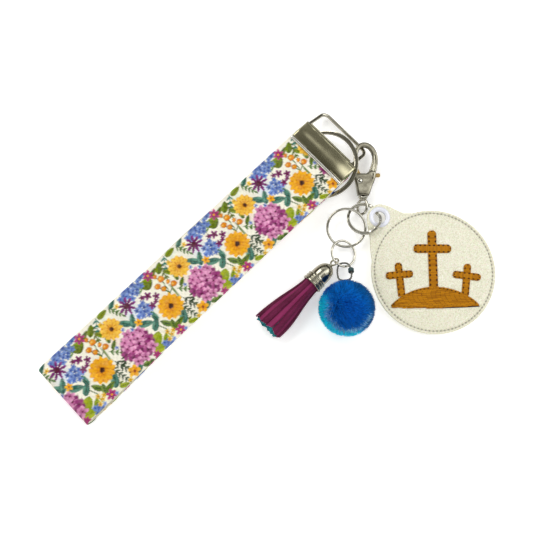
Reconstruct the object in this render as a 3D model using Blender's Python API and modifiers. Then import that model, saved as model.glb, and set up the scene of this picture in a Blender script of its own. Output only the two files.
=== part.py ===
"""Wristlet keychain: folded webbing strap, crimped clamp with a hinged bail, a
large split ring, a swivel lobster clasp, and a small split ring that carries a
round stitched charm, two jump rings, a tassel and a pompom.

Frame: the set lies flat, +Z up.  +X runs along the strap from its fold to the
clamp, +Y across it.  The origin is the bottom centre of the whole set.
Helper lengths are in millimetres and are turned into metres by MM.
"""
import math
import bpy
import bmesh
from mathutils import Vector, Matrix

# ------------------------------------------------------------------ sizes (mm)
MM = 0.001
SHIFT_X, SHIFT_Y = 92.23, -41.55      # layout point that becomes the origin

TABLE_DROP = 0.10                     # clearance taken out of the layout heights

STRAP_W = 31.6                        # webbing width
COVER_W = 32.0                        # printed cover width
WEB_T = 1.1                           # webbing thickness
COVER_T = 0.45                        # printed cover thickness
SKIN_GAP = 0.15                       # between webbing and cover
FOLD_R = 2.975                        # webbing centre line radius at the fold
LOW_Z = 1.25                          # lower leg centre height on the table
HIGH_Z = 7.20                         # upper leg centre height
SIDE_BOW = 1.9                        # how far the lower leg wanders sideways

CLAMP_Z = 8.10                        # height of the clamp's middle plane
CLAMP_X0, CLAMP_X1 = 152.4, 162.0     # strap edge, hinge axis
CLAMP_HALF = 2.75                     # half the clamp's thickness
CLAMP_W = 31.2
SLOT_HALF = 2.05
SLOT_END = 159.6
PIN_BORE_R = 1.25

BAIL_R = 0.7                          # bail wire radius
BAIL_DEPTH = 14.0                     # hinge axis to far bar
BAIL_Y0, BAIL_Y1 = -12.6, 14.9        # side bars
BAIL_DROOP = math.radians(24.4)       # far bar hangs below the hinge

RING_A_C = (155.8, -3.0)              # large split ring
RING_A_R = 15.25
RING_A_W, RING_A_T = 1.9, 0.65         # wire width and thickness, two coils
RING_A_SLOPE = (0.20, -0.13)

CLASP_P = (158.6, -26.18, 3.0)        # swivel end of the clasp body
CLASP_HEADING = math.radians(41.47)   # direction from swivel to hook
CLASP_PITCH = math.radians(4.0)

RING_B_C = (151.0, -34.2)             # small split ring
RING_B_R = 7.3
RING_B_W, RING_B_T = 1.25, 0.65
RING_B_Z0 = 2.74                      # height where it passes the swivel eye
RING_B_SLOPE = 0.20
EYELET_ANGLE = math.radians(-39.3)
EYELET_DIST = 6.9

RING_C_C = (142.08, -31.61, 4.30)      # large jump ring
RING_C_R, RING_C_WIRE = 8.6, 0.6
RING_C_SLOPE = (0.122, 0.128)

RING_D_C = (132.9, -39.02, 3.23)       # small jump ring
RING_D_R, RING_D_WIRE = 5.94, 0.55
RING_D_SLOPE = (-0.322, 0.296)

CHARM_R = 28.1
CHARM_TAB = 34.4                      # charm centre to eyelet
CHARM_Z_TAB = 4.12                    # mid-plane height at the eyelet
CHARM_PITCH = math.radians(3.0)
VINYL_T = 0.6
EYELET_BORE = 2.85

TASSEL_X = 126.9                      # centre of the tassel's eye
TASSEL_Y = -39.15
POM_C = (114.7, -57.7, 13.05)
POM_R = 12.9


# ------------------------------------------------------------------ scene setup
for old in list(bpy.data.objects):
    bpy.data.objects.remove(old, do_unlink=True)

PARTS = bpy.data.collections.new("wristlet_keychain")
CUTTERS = bpy.data.collections.new("cutters")
bpy.context.scene.collection.children.link(PARTS)
bpy.context.scene.collection.children.link(CUTTERS)


def material(name, rgb, rough, metal=0.0):
    m = bpy.data.materials.new(name)
    m.use_nodes = True
    p = m.node_tree.nodes["Principled BSDF"]
    p.inputs["Base Color"].default_value = (*rgb, 1.0)
    p.inputs["Roughness"].default_value = rough
    p.inputs["Metallic"].default_value = metal
    m.diffuse_color = (*rgb, 1.0)
    return m


NICKEL = material("nickel", (0.62, 0.60, 0.53), 0.24, 1.0)
SATIN = material("satin_nickel", (0.42, 0.41, 0.34), 0.34, 1.0)
BRASS = material("aged_brass", (0.45, 0.33, 0.15), 0.38, 1.0)
CREAM = material("cream_webbing", (0.86, 0.80, 0.68), 0.85)
PRINT = material("printed_cover", (0.92, 0.86, 0.78), 0.6)
VINYL = material("glitter_vinyl", (0.88, 0.86, 0.78), 0.45)
THREAD = material("ochre_thread", (0.55, 0.24, 0.01), 0.6)
LILAC = material("enamel_eyelet", (0.74, 0.76, 0.86), 0.3)
PLUM = material("plum_suede", (0.22, 0.03, 0.11), 0.9)
TEAL = material("teal_suede", (0.02, 0.26, 0.30), 0.9)
FUR = material("blue_fur", (0.01, 0.08, 0.36), 0.9)
CORD = material("dark_cord", (0.03, 0.05, 0.05), 0.8)


# ------------------------------------------------------------------ helpers
def pt(x, y, z):
    """Layout millimetres to metres about the origin."""
    return Vector(((x - SHIFT_X) * MM, (y - SHIFT_Y) * MM, z * MM))


def smooth(t):
    t = max(0.0, min(1.0, t))
    return t * t * (3.0 - 2.0 * t)


def put(obj, coll, mat=None):
    for c in list(obj.users_collection):
        c.objects.unlink(obj)
    coll.objects.link(obj)
    if mat is not None:
        obj.data.materials.clear()
        obj.data.materials.append(mat)
    return obj


def wire_curve(name, points, radius, mat, cyclic=False, res=2, coll=None,
               radii=None, profile=None, twist=None):
    """POLY spline with a round bevel, or swept with a profile curve."""
    cu = bpy.data.curves.new(name, "CURVE")
    cu.dimensions = "3D"
    sp = cu.splines.new("POLY")
    sp.points.add(len(points) - 1)
    for i, p in enumerate(points):
        sp.points[i].co = (p.x, p.y, p.z, 1.0)
        if radii:
            sp.points[i].radius = radii[i]
    sp.use_cyclic_u = cyclic
    sp.use_smooth = True
    if profile is None:
        cu.bevel_depth = radius
        cu.bevel_resolution = res
    else:
        cu.bevel_mode = "OBJECT"
        cu.bevel_object = profile
    if twist:
        cu.twist_mode = twist
    cu.use_fill_caps = not cyclic
    ob = bpy.data.objects.new(name, cu)
    (coll or PARTS).objects.link(ob)
    cu.materials.append(mat)
    return ob


def as_mesh(ob, weld=1e-6):
    """Turns a curve object into a mesh object of the same name and place."""
    bpy.context.view_layer.update()
    dg = bpy.context.evaluated_depsgraph_get()
    me = bpy.data.meshes.new_from_object(ob.evaluated_get(dg))
    bm = bmesh.new()
    bm.from_mesh(me)
    bmesh.ops.remove_doubles(bm, verts=bm.verts, dist=weld)
    bmesh.ops.recalc_face_normals(bm, faces=bm.faces)
    bm.to_mesh(me)
    bm.free()
    name, coll, mat = ob.name, ob.users_collection[0], ob.data.materials[0]
    mw = ob.matrix_world.copy()
    bpy.data.objects.remove(ob, do_unlink=True)
    me.name = name
    new = bpy.data.objects.new(name, me)
    new.matrix_world = mw
    coll.objects.link(new)
    me.materials.clear()
    me.materials.append(mat)
    me.shade_smooth()
    me.set_sharp_from_angle(angle=math.radians(40))
    return new


def plate(name, outline, half, mat, matrix, coll=None, holes=(), bevel=0.0, res=1):
    """Filled 2D outline (mm) extruded by half its thickness each way."""
    cu = bpy.data.curves.new(name, "CURVE")
    cu.dimensions = "2D"
    cu.fill_mode = "BOTH"
    cu.extrude = (half - bevel) * MM
    cu.bevel_depth = bevel * MM
    cu.bevel_resolution = res
    if bevel:
        cu.offset = -bevel * MM
    for loop in (outline, *holes):
        sp = cu.splines.new("POLY")
        sp.points.add(len(loop) - 1)
        for i, (x, y) in enumerate(loop):
            sp.points[i].co = (x * MM, y * MM, 0.0, 1.0)
        sp.use_cyclic_u = True
    ob = bpy.data.objects.new(name, cu)
    (coll or PARTS).objects.link(ob)
    cu.materials.append(mat)
    ob.matrix_world = matrix
    return ob


def circle(cx, cy, r, n, a0=0.0, a1=2 * math.pi, closed=True):
    m = n if closed else n - 1
    return [(cx + r * math.cos(a0 + (a1 - a0) * i / m),
             cy + r * math.sin(a0 + (a1 - a0) * i / m)) for i in range(n)]


def spline(ctrl, per, cyclic=False):
    """Catmull-Rom points through control points of any dimension."""
    out = []
    n = len(ctrl)
    segs = n if cyclic else n - 1
    for i in range(segs):
        if cyclic:
            p0, p1, p2, p3 = (ctrl[(i + k - 1) % n] for k in range(4))
        else:
            p0, p1 = ctrl[max(i - 1, 0)], ctrl[i]
            p2, p3 = ctrl[i + 1], ctrl[min(i + 2, n - 1)]
        for j in range(per):
            t = j / per
            out.append(tuple(
                0.5 * (2 * b + (c - a) * t + (2 * a - 5 * b + 4 * c - d) * t * t
                       + (3 * b - a - 3 * c + d) * t ** 3)
                for a, b, c, d in zip(p0, p1, p2, p3)))
    if not cyclic:
        out.append(tuple(ctrl[-1]))
    return out


def boolean(ob, cutter, op):
    mod = ob.modifiers.new(op.lower(), "BOOLEAN")
    mod.operation = op
    mod.solver = "EXACT"
    mod.object = cutter
    return mod


def hide_cutter(ob):
    put(ob, CUTTERS)
    ob.hide_render = True
    ob.display_type = "WIRE"
    return ob


def cylinder(name, r, h, mat, matrix, coll=None, segs=24):
    bpy.ops.mesh.primitive_cylinder_add(vertices=segs, radius=r * MM, depth=h * MM)
    ob = bpy.context.active_object
    ob.name = name
    ob.matrix_world = matrix
    put(ob, coll or PARTS, mat)
    ob.data.shade_smooth()
    ob.data.set_sharp_from_angle(angle=math.radians(40))
    return ob


def box(name, lo, hi, matrix, mat=NICKEL, coll=None):
    bpy.ops.mesh.primitive_cube_add(size=1.0)
    ob = bpy.context.active_object
    ob.name = name
    ctr = Vector([(a + b) / 2 * MM for a, b in zip(lo, hi)])
    dims = [(b - a) * MM for a, b in zip(lo, hi)]
    ob.data.transform(Matrix.Translation(ctr) @ Matrix.Diagonal((*dims, 1.0)))
    ob.matrix_world = matrix
    return put(ob, coll or CUTTERS, mat)


def torus(name, major, minor, mat, matrix, seg=40, ring=8):
    bpy.ops.mesh.primitive_torus_add(major_radius=major * MM, minor_radius=minor * MM,
                                     major_segments=seg, minor_segments=ring)
    ob = bpy.context.active_object
    ob.name = name
    ob.matrix_world = matrix
    put(ob, PARTS, mat)
    ob.data.shade_smooth()
    return ob


def turned(name, profile, segs, mat, matrix, coll=None):
    """Screw of a profile of (radius, height) pairs about local Z.

    The profile runs down its outer side at +X, top to bottom.
    """
    me = bpy.data.meshes.new(name)
    bm = bmesh.new()
    vs = [bm.verts.new((r * MM, 0.0, z * MM)) for r, z in profile]
    for a, b in zip(vs, vs[1:]):
        bm.edges.new((a, b))
    if profile[0][0] > 0:
        bm.edges.new((vs[-1], vs[0]))
    bm.to_mesh(me)
    bm.free()
    ob = bpy.data.objects.new(name, me)
    (coll or PARTS).objects.link(ob)
    ob.matrix_world = matrix
    me.materials.append(mat)
    mod = ob.modifiers.new("turn", "SCREW")
    mod.angle = 2 * math.pi
    mod.steps = segs
    mod.render_steps = segs
    mod.axis = "Z"
    mod.use_merge_vertices = True
    mod.merge_threshold = 0.00001
    mod.use_smooth_shade = True
    return ob


def tilt_matrix(centre, slope):
    """Frame at a ring centre whose Z is the ring axis for a given plane slope."""
    n = Vector((-slope[0], -slope[1], 1.0)).normalized()
    x = Vector((1.0, 0.0, slope[0]))
    x = (x - n * x.dot(n)).normalized()
    y = n.cross(x)
    m = Matrix((x, y, n)).transposed().to_4x4()
    m.translation = centre
    return m


def section(name, w, t):
    """Rounded rectangular wire section as a profile curve (mm)."""
    cu = bpy.data.curves.new(name, "CURVE")
    cu.dimensions = "2D"
    cu.fill_mode = "NONE"
    c = 0.3 * t
    pts = [(w / 2, -t / 2 + c), (w / 2, t / 2 - c), (w / 2 - c, t / 2), (-w / 2 + c, t / 2),
           (-w / 2, t / 2 - c), (-w / 2, -t / 2 + c), (-w / 2 + c, -t / 2), (w / 2 - c, -t / 2)]
    sp = cu.splines.new("POLY")
    sp.points.add(len(pts) - 1)
    for i, (x, y) in enumerate(pts):
        sp.points[i].co = (x * MM, y * MM, 0.0, 1.0)
    sp.use_cyclic_u = True
    ob = bpy.data.objects.new(name, cu)
    return hide_cutter_link(ob)


def hide_cutter_link(ob):
    CUTTERS.objects.link(ob)
    ob.hide_render = True
    ob.display_type = "WIRE"
    return ob


def split_ring(name, radius, w, t, mat, height, frame, seg=40, start=0.0):
    """Two flat coils joined by one step, swept with a flat wire section.

    height(angle) lifts the wire locally; frame maps ring space to the world.
    """
    pitch = t + 0.1
    step = math.radians(26)
    total = 4 * math.pi - step - math.radians(6)
    n = int(seg * total / (2 * math.pi))
    pts = []
    for i in range(n + 1):
        a = total * i / n
        lift = smooth((a - (2 * math.pi - step)) / step)
        ang = start + a
        z = (lift - 0.5) * pitch + height(ang)
        pts.append(frame @ Vector((radius * MM * math.cos(ang), radius * MM * math.sin(ang), z * MM)))
    prof = section(name + "_section", w, t)
    return as_mesh(wire_curve(name, pts, 0.0, mat, profile=prof, twist="Z_UP"))


# XZ outlines are drawn in local XY and stood up about the X axis
def upright(y_mm):
    return Matrix.Translation(Vector((0, (y_mm - SHIFT_Y) * MM, 0))) @ Matrix.Rotation(math.pi / 2, 4, "X")


# ------------------------------------------------------------------ strap
def high_leg(x):
    return HIGH_Z + (CLAMP_Z + 0.7 - HIGH_Z) * smooth((x - 85) / 48)


def low_leg(x):
    return LOW_Z + (CLAMP_Z - 0.7 - LOW_Z) * smooth((x - 58) / 78)


def strap_path():
    """Webbing centre line: upper leg from the clamp, round the fold, lower leg back."""
    fold_x = FOLD_R + WEB_T / 2 + SKIN_GAP + COVER_T + 0.02
    pts = []
    xs = [158.9, 155.5, 151.5, 147, 142, 137, 132, 127, 122, 117, 112, 107, 102, 95, 80, 60, 40, 20, 9, fold_x]
    for x in xs:
        pts.append((x, high_leg(x)))
    for i in range(1, 10):
        a = math.pi / 2 + math.pi * i / 10
        pts.append((fold_x + FOLD_R * math.cos(a), (HIGH_Z + LOW_Z) / 2 + FOLD_R * math.sin(a)))
    xs = [fold_x, 9, 20, 34, 46, 56, 62, 68, 74, 80, 86, 92, 98, 104, 110, 116, 122, 128, 134, 140, 147, 151.5, 155.5, 158.9]
    for x in xs:
        pts.append((x, low_leg(x)))
    return pts


def offset_path(path, d):
    """Path shifted by d to its right-hand side, which is the outside of the fold."""
    out = []
    n = len(path)
    for i in range(n):
        a, b = path[max(i - 1, 0)], path[min(i + 1, n - 1)]
        tx, tz = b[0] - a[0], b[1] - a[1]
        l = math.hypot(tx, tz)
        out.append((path[i][0] + tz / l * d, path[i][1] - tx / l * d))
    return out


def strap_band(name, inner, outer, width, mat):
    path = strap_path()
    loop = offset_path(path, outer) + offset_path(path, inner)[::-1]
    loop = [(x - SHIFT_X, z) for x, z in loop]
    ob = as_mesh(plate(name, loop, width / 2, mat, upright(0.0)))
    ob.data.transform(ob.matrix_world)
    ob.matrix_world = Matrix.Identity(4)
    mid = (HIGH_Z + LOW_Z) / 2
    for v in ob.data.vertices:
        x = v.co.x / MM + SHIFT_X
        z = v.co.z / MM
        low = smooth((mid + 2.0 - z) / 4.0) if x < 6 else float(z < (low_leg(x) + high_leg(x)) / 2)
        v.co.y += SIDE_BOW * MM * low * math.sin(math.pi * smooth((x - 4) / 142.0))
    return ob


# the right-hand side of the path (walked clamp -> fold -> clamp) is the outside
webbing = strap_band("strap_webbing", WEB_T / 2, -WEB_T / 2, STRAP_W, CREAM)
cover = strap_band("strap_print_cover", WEB_T / 2 + SKIN_GAP, WEB_T / 2 + SKIN_GAP + COVER_T, COVER_W, PRINT)


# ------------------------------------------------------------------ clamp
def clamp_outline():
    """Side view: two jaws with rolled lips, joined by a round hinge barrel."""
    h, s = CLAMP_HALF, SLOT_HALF
    x0, xa, xe = CLAMP_X0, CLAMP_X1, SLOT_END
    up = [(x0 + 1.3, h), (x0 + 0.95, h + 0.28), (x0 + 0.45, h + 0.34), (x0 + 0.05, h + 0.12),
          (x0 - 0.08, h - 0.32), (x0 + 0.1, s + 0.02)]
    barrel = [(xa + h * math.sin(a), h * math.cos(a)) for a in [math.pi * i / 12 for i in range(13)]]
    slot = [(x0 + 0.1, s), (xe - 0.5, s), (xe, s - 0.5)]
    pts = up[::-1][1:] + barrel
    pts += [(x, -z) for x, z in up[:-1]]
    pts += [(x, -z) for x, z in slot] + slot[::-1]
    return [(x - SHIFT_X, z + CLAMP_Z) for x, z in pts]


bore = [(x - SHIFT_X, z) for x, z in circle(CLAMP_X1, CLAMP_Z, PIN_BORE_R, 20)]
clamp = as_mesh(plate("fob_clamp", clamp_outline(), CLAMP_W / 2, SATIN, upright(0.0), holes=[bore]))
for tag, y0, y1 in (("a", 13.55, 20.0), ("b", -20.0, -11.25)):
    cut = box("clamp_notch_" + tag, (CLAMP_X1 - 1.3 - SHIFT_X, y0 - SHIFT_Y, 0.0),
              (CLAMP_X1 + 6 - SHIFT_X, y1 - SHIFT_Y, 20.0), Matrix.Identity(4))
    hide_cutter(cut)
    boolean(clamp, cut, "DIFFERENCE")


# ------------------------------------------------------------------ bail (hinged frame)
def bail_points():
    """Pins in the barrel, side bars, rounded far corners; p runs along the droop."""
    r0, r1 = 1.3, 3.0
    half = [(0.0, 10.6), (0.0, BAIL_Y1 - r0)]
    half += [(r0 - r0 * math.cos(a), BAIL_Y1 - r0 + r0 * math.sin(a)) for a in [math.radians(k) for k in (30, 60, 90)]]
    half += [(5.0, BAIL_Y1), (BAIL_DEPTH - r1, BAIL_Y1)]
    half += [(BAIL_DEPTH - r1 + r1 * math.sin(a), BAIL_Y1 - r1 + r1 * math.cos(a)) for a in [math.radians(k) for k in (18, 36, 54, 72, 90)]]
    half += [(BAIL_DEPTH, 6.0)]
    other = [(p, -(y - BAIL_Y1) + BAIL_Y0) for p, y in half][::-1]
    pts = half + other
    pts[-1] = (0.0, -9.1)
    return [pt(CLAMP_X1 + p * math.cos(BAIL_DROOP), y, CLAMP_Z - p * math.sin(BAIL_DROOP)) for p, y in pts]


bail = as_mesh(wire_curve("fob_bail", bail_points(), BAIL_R * MM, NICKEL, res=2))

# ------------------------------------------------------------------ large split ring
ring_a_z = 0.95 + RING_A_R * math.hypot(*RING_A_SLOPE)
ring_a_frame = tilt_matrix(pt(RING_A_C[0], RING_A_C[1], ring_a_z), RING_A_SLOPE)
ring_a = split_ring("split_ring_large", RING_A_R, RING_A_W, RING_A_T, NICKEL, lambda a: 0.0,
                    ring_a_frame, seg=40, start=math.radians(150))

# ------------------------------------------------------------------ clasp
ux = Vector((math.cos(CLASP_HEADING) * math.cos(CLASP_PITCH), math.sin(CLASP_HEADING) * math.cos(CLASP_PITCH), math.sin(CLASP_PITCH)))
uy = Vector((-math.sin(CLASP_HEADING), math.cos(CLASP_HEADING), 0.0))
uz = ux.cross(uy)
CLASP = Matrix((ux, uy, uz)).transposed().to_4x4()
CLASP.translation = pt(*CLASP_P)


def lift(z):
    return CLASP @ Matrix.Translation(Vector((0, 0, z * MM)))


# hook: a tapering C that leaves the body on the spine side and ends in a nose
hook_line = [(8.6, -2.6), (12.0, -3.6), (16.0, -4.3), (19.4, -4.0), (22.4, -2.3), (23.9, 0.3),
             (23.3, 2.9), (21.3, 4.3), (18.8, 4.55)]
hook_w = [2.0, 1.75, 1.5, 1.35, 1.3, 1.25, 1.2, 1.1, 0.9]
hl = spline([(x, y, w) for (x, y), w in zip(hook_line, hook_w)], 3)
left, right = [], []
for i, (x, y, w) in enumerate(hl):
    a, b = hl[max(i - 1, 0)], hl[min(i + 1, len(hl) - 1)]
    tx, ty = b[0] - a[0], b[1] - a[1]
    l = math.hypot(tx, ty)
    left.append((x - ty / l * w * 0.92, y + tx / l * w * 0.92))
    right.append((x + ty / l * w * 0.92, y - tx / l * w * 0.92))
hook = as_mesh(plate("clasp_hook_arm", left + right[::-1], 1.2, NICKEL, lift(0.45), coll=CUTTERS, bevel=0.35, res=1))
hide_cutter(hook)

# body: tapered plate from the swivel end up to the root of the hook
body_line = [(0.0, -2.5), (0.0, 2.5), (1.0, 2.9), (4.0, 3.6), (7.0, 4.5), (9.0, 5.0), (9.9, 4.4),
             (10.2, 2.0), (10.4, -0.6), (11.6, -2.2), (12.0, -4.0), (11.4, -5.2), (8.0, -4.9), (4.0, -3.7), (1.0, -2.9)]
clasp_body = as_mesh(plate("clasp_body", body_line, 2.1, NICKEL, lift(0.0), bevel=0.45, res=1))
boolean(clasp_body, hook, "UNION")

# recess under the body for the gate, swivel bore, head pocket, rivet hole
gate_room = box("clasp_gate_recess", (4.6, -9.0, -4.0), (11.9, 9.0, -0.25), CLASP)
hide_cutter(gate_room)
boolean(clasp_body, gate_room, "DIFFERENCE")
nose_room = box("clasp_nose_recess", (11.5, -2.2, -4.0), (22.5, 9.0, -0.25), CLASP)
hide_cutter(nose_room)
boolean(clasp_body, nose_room, "DIFFERENCE")
swivel_bore = cylinder("clasp_swivel_bore", 1.2, 8.0, NICKEL, CLASP @ Matrix.Rotation(math.pi / 2, 4, "Y"), coll=CUTTERS, segs=20)
hide_cutter(swivel_bore)
boolean(clasp_body, swivel_bore, "DIFFERENCE")
pocket = box("clasp_head_pocket", (1.7, -1.95, -4.0), (3.9, 1.95, 1.72), CLASP)
hide_cutter(pocket)
boolean(clasp_body, pocket, "DIFFERENCE")
PIVOT = (6.6, 2.2)
rivet_hole = cylinder("clasp_rivet_hole", 1.0, 12.0, NICKEL, CLASP @ Matrix.Translation(Vector((PIVOT[0] * MM, PIVOT[1] * MM, 0))), coll=CUTTERS, segs=20)
hide_cutter(rivet_hole)
boolean(clasp_body, rivet_hole, "DIFFERENCE")

rivet = turned("clasp_rivet", [(0, 2.75), (0.6, 2.7), (1.15, 2.5), (1.35, 2.25), (0.7, 2.25), (0.7, -2.05), (1.3, -2.05), (1.2, -2.35), (0.6, -2.5), (0, -2.5)],
               20, NICKEL, CLASP @ Matrix.Translation(Vector((PIVOT[0] * MM, PIVOT[1] * MM, 0))))

# gate: boss round the rivet, arm to the nose, thumb lever across under the spine
arm = [(PIVOT[0] + 1.7 * math.cos(a), PIVOT[1] + 1.7 * math.sin(a)) for a in [math.radians(k) for k in range(75, 236, 20)]]
gate_line = arm + [(7.6, 0.2), (9.0, -3.0), (9.6, -6.0), (9.7, -7.0), (10.4, -7.5), (11.3, -7.2), (11.5, -6.2),
                   (10.9, -3.6), (10.2, -0.4), (10.6, 1.5), (13.5, 3.1), (17.0, 3.8), (21.0, 3.95), (21.5, 4.3), (21.4, 4.9), (20.6, 5.3),
                   (16.0, 5.2), (11.5, 4.65), (8.6, 4.1)]
gate = as_mesh(plate("clasp_gate", gate_line, 0.55, BRASS, lift(-1.30),
                     holes=[circle(PIVOT[0], PIVOT[1], 0.98, 16)[::-1]], bevel=0.15, res=0))


# ------------------------------------------------------------------ swivel eye
def eye_matrix():
    return CLASP @ Matrix.Rotation(math.radians(-45), 4, "X")


EYE = eye_matrix()
eye_ctrl = [(-1.75, 0.0), (-2.1, 1.45), (-3.3, 2.4), (-5.0, 2.6), (-6.8, 2.35), (-8.1, 1.4), (-8.5, 0.0),
            (-8.1, -1.4), (-6.8, -2.35), (-5.0, -2.6), (-3.3, -2.4), (-2.1, -1.45)]
eye_pts = [EYE @ Vector((x * MM, y * MM, 0)) for x, y in spline(eye_ctrl, 3, cyclic=True)]
eye_loop = as_mesh(wire_curve("swivel_eye_loop", eye_pts, 0.65 * MM, NICKEL, cyclic=True, res=2, coll=CUTTERS))
hide_cutter(eye_loop)
swivel = turned("swivel_eye", [(0, 3.25), (1.1, 3.2), (1.42, 2.95), (1.42, 2.45), (0.88, 2.15), (0.88, -0.35), (2.1, -0.45),
                               (2.25, -0.75), (2.1, -1.15), (1.2, -1.5), (0.9, -1.9), (0, -1.95)],
                20, NICKEL, CLASP @ Matrix.Rotation(math.pi / 2, 4, "Y"))
boolean(swivel, eye_loop, "UNION")

# ------------------------------------------------------------------ small split ring
EYE_DIR = CLASP_HEADING                      # from ring centre toward the swivel eye
eyelet_xy = (RING_B_C[0] + EYELET_DIST * math.cos(EYELET_ANGLE), RING_B_C[1] + EYELET_DIST * math.sin(EYELET_ANGLE))
slope_b = (-RING_B_SLOPE * math.cos(EYE_DIR), -RING_B_SLOPE * math.sin(EYE_DIR))
ring_b_z = RING_B_Z0 + RING_B_R * RING_B_SLOPE
ring_b_frame = tilt_matrix(pt(RING_B_C[0], RING_B_C[1], ring_b_z), slope_b)
BUMP = 1.72


def ring_b_height(a):
    """The coils duck under the charm tab, pass up through its eyelet and go over it."""
    d = math.degrees((a - EYELET_ANGLE + math.pi) % (2 * math.pi) - math.pi)
    if d >= 0:
        low = smooth(d / 25.0) if d < 25 else (1.0 if d < 34 else 1.0 - smooth((d - 34.0) / 31.0))
        return -BUMP * low
    d = -d
    high = smooth(d / 25.0) if d < 25 else (1.0 if d < 50 else 1.0 - smooth((d - 50.0) / 36.0))
    return BUMP * high


ring_b = split_ring("split_ring_small", RING_B_R, RING_B_W, RING_B_T, NICKEL, ring_b_height,
                    ring_b_frame, seg=44, start=math.radians(140))

# ------------------------------------------------------------------ jump rings
ring_c = torus("jump_ring_large", RING_C_R, RING_C_WIRE, NICKEL, tilt_matrix(pt(*RING_C_C), RING_C_SLOPE), seg=40, ring=8)
ring_d = torus("jump_ring_small", RING_D_R, RING_D_WIRE, NICKEL, tilt_matrix(pt(*RING_D_C), RING_D_SLOPE), seg=36, ring=8)

# ------------------------------------------------------------------ charm
cp, sp_ = math.cos(CHARM_PITCH), math.sin(CHARM_PITCH)
charm_c = (eyelet_xy[0], eyelet_xy[1] - CHARM_TAB * cp, CHARM_Z_TAB - CHARM_TAB * sp_)
CHARM = Matrix(((1, 0, 0), (0, cp, -sp_), (0, sp_, cp))).to_4x4()
CHARM.translation = pt(*charm_c)


def charm_at(z):
    return CHARM @ Matrix.Translation(Vector((0, 0, z * MM)))


def charm_outline(grow=0.0):
    """Disc with a tab whose flanks flare into the disc."""
    tab = [(-16.9, 22.2), (-13.6, 26.6), (-9.9, 30.6), (-6.2, 35.9), (-3.2, 39.1), (0.4, 40.2), (4.2, 38.8),
           (6.6, 35.3), (7.9, 31.6), (9.4, 28.3), (12.6, 25.0)]
    flank = spline(tab, 3)
    a0 = math.atan2(25.0, 12.6)
    a1 = math.atan2(22.2, -16.9) - 2 * math.pi
    disc = circle(0, 0, CHARM_R, 62, a0, a1, closed=False)
    pts = flank + disc[1:-1]
    return [(x * (1 + grow), y * (1 + grow)) for x, y in pts]


hole = circle(0, CHARM_TAB, 3.35, 24)
plate("charm_front", charm_outline(), VINYL_T / 2, VINYL, charm_at(0.45), holes=[hole])
plate("charm_back", charm_outline(), VINYL_T / 2, VINYL, charm_at(-0.45), holes=[hole])
for nm in ("charm_front", "charm_back"):
    as_mesh(bpy.data.objects[nm])

eyelet_m = CHARM @ Matrix.Translation(Vector((0, CHARM_TAB * MM, 0)))
turned("eyelet_front", [(EYELET_BORE, 1.0), (3.3, 1.2), (4.1, 1.22), (4.65, 1.08), (4.75, 0.85), (3.2, 0.85), (3.2, -0.8), (EYELET_BORE, -0.8)][::1],
       28, LILAC, eyelet_m)
turned("eyelet_washer", [(EYELET_BORE, -0.9), (4.4, -0.9), (4.6, -1.0), (4.5, -1.15), (EYELET_BORE + 0.15, -1.15)], 28, NICKEL, eyelet_m)


# raised embroidery: a mound and three upright crossed bars
def to_charm(x, y):
    """Motif axes: x right, y up, turned to the charm's own axes."""
    t = math.radians(46.06 - 90.0)
    return (x * math.cos(t) - y * math.sin(t), x * math.sin(t) + y * math.cos(t))


def mound(grow=0.0):
    n = 17
    pts = []
    for i in range(n):
        u = -1 + 2 * i / (n - 1)
        pts.append((0.2 + u * (20.1 + grow), -15.7 + 8.8 * (1 - u * u) ** 0.85 * (1.0 if abs(u) < 1 else 0.0) + grow + (0.35 if abs(u) == 1 else 0)))
    for i in range(n):
        u = 1 - 2 * i / (n - 1)
        pts.append((0.2 + u * (19.4 + grow), -15.9 - 0.7 * (1 - u * u) - grow))
    return [to_charm(x, y) for x, y in pts][::-1]


def bars(cx, cy, up, down, side, w, lean):
    """A crossed pair of round-cornered bars about (cx, cy)."""
    h, c = w / 2, w * 0.22
    raw = [(-h, -down), (h, -down), (h, -h), (side, -h + 0.0), (side + 0.0, h), (h, h), (h, up), (-h, up), (-h, h), (-side, h), (-side, -h), (-h, -h)]
    convex = {0: 0, 1: 0, 3: 1, 4: 1, 6: 1, 7: 1, 9: 1, 10: 1}
    pts = []
    n = len(raw)
    for i, p in enumerate(raw):
        a, b = raw[i - 1], raw[(i + 1) % n]
        if convex.get(i):
            for q in (a, b):
                l = math.hypot(q[0] - p[0], q[1] - p[1])
                pts.append((p[0] + (q[0] - p[0]) / l * c, p[1] + (q[1] - p[1]) / l * c))
        else:
            pts.append(p)
    ca, sa = math.cos(lean), math.sin(lean)
    return [to_charm(cx + x * ca - y * sa, cy + x * sa + y * ca) for x, y in pts]


EMB = charm_at(0.75 + 0.1 + 0.25)
plate("embroidery_mound", mound(), 0.25, THREAD, EMB)
as_mesh(bpy.data.objects["embroidery_mound"])
gap_cut = as_mesh(plate("embroidery_gap", mound(0.3), 1.0, THREAD, EMB, coll=CUTTERS))
hide_cutter(gap_cut)
for nm, args in (("embroidery_cross_center", (-0.3, 10.4, 8.3, 18.5, 8.5, 3.9, 0.0)),
                 ("embroidery_cross_left", (-15.6, -1.6, 5.4, 12.0, 6.1, 3.2, math.radians(5))),
                 ("embroidery_cross_right", (14.9, -1.9, 5.4, 12.0, 6.3, 3.2, math.radians(-7)))):
    ob = as_mesh(plate(nm, bars(*args), 0.25, THREAD, EMB))
    boolean(ob, gap_cut, "DIFFERENCE")

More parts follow.
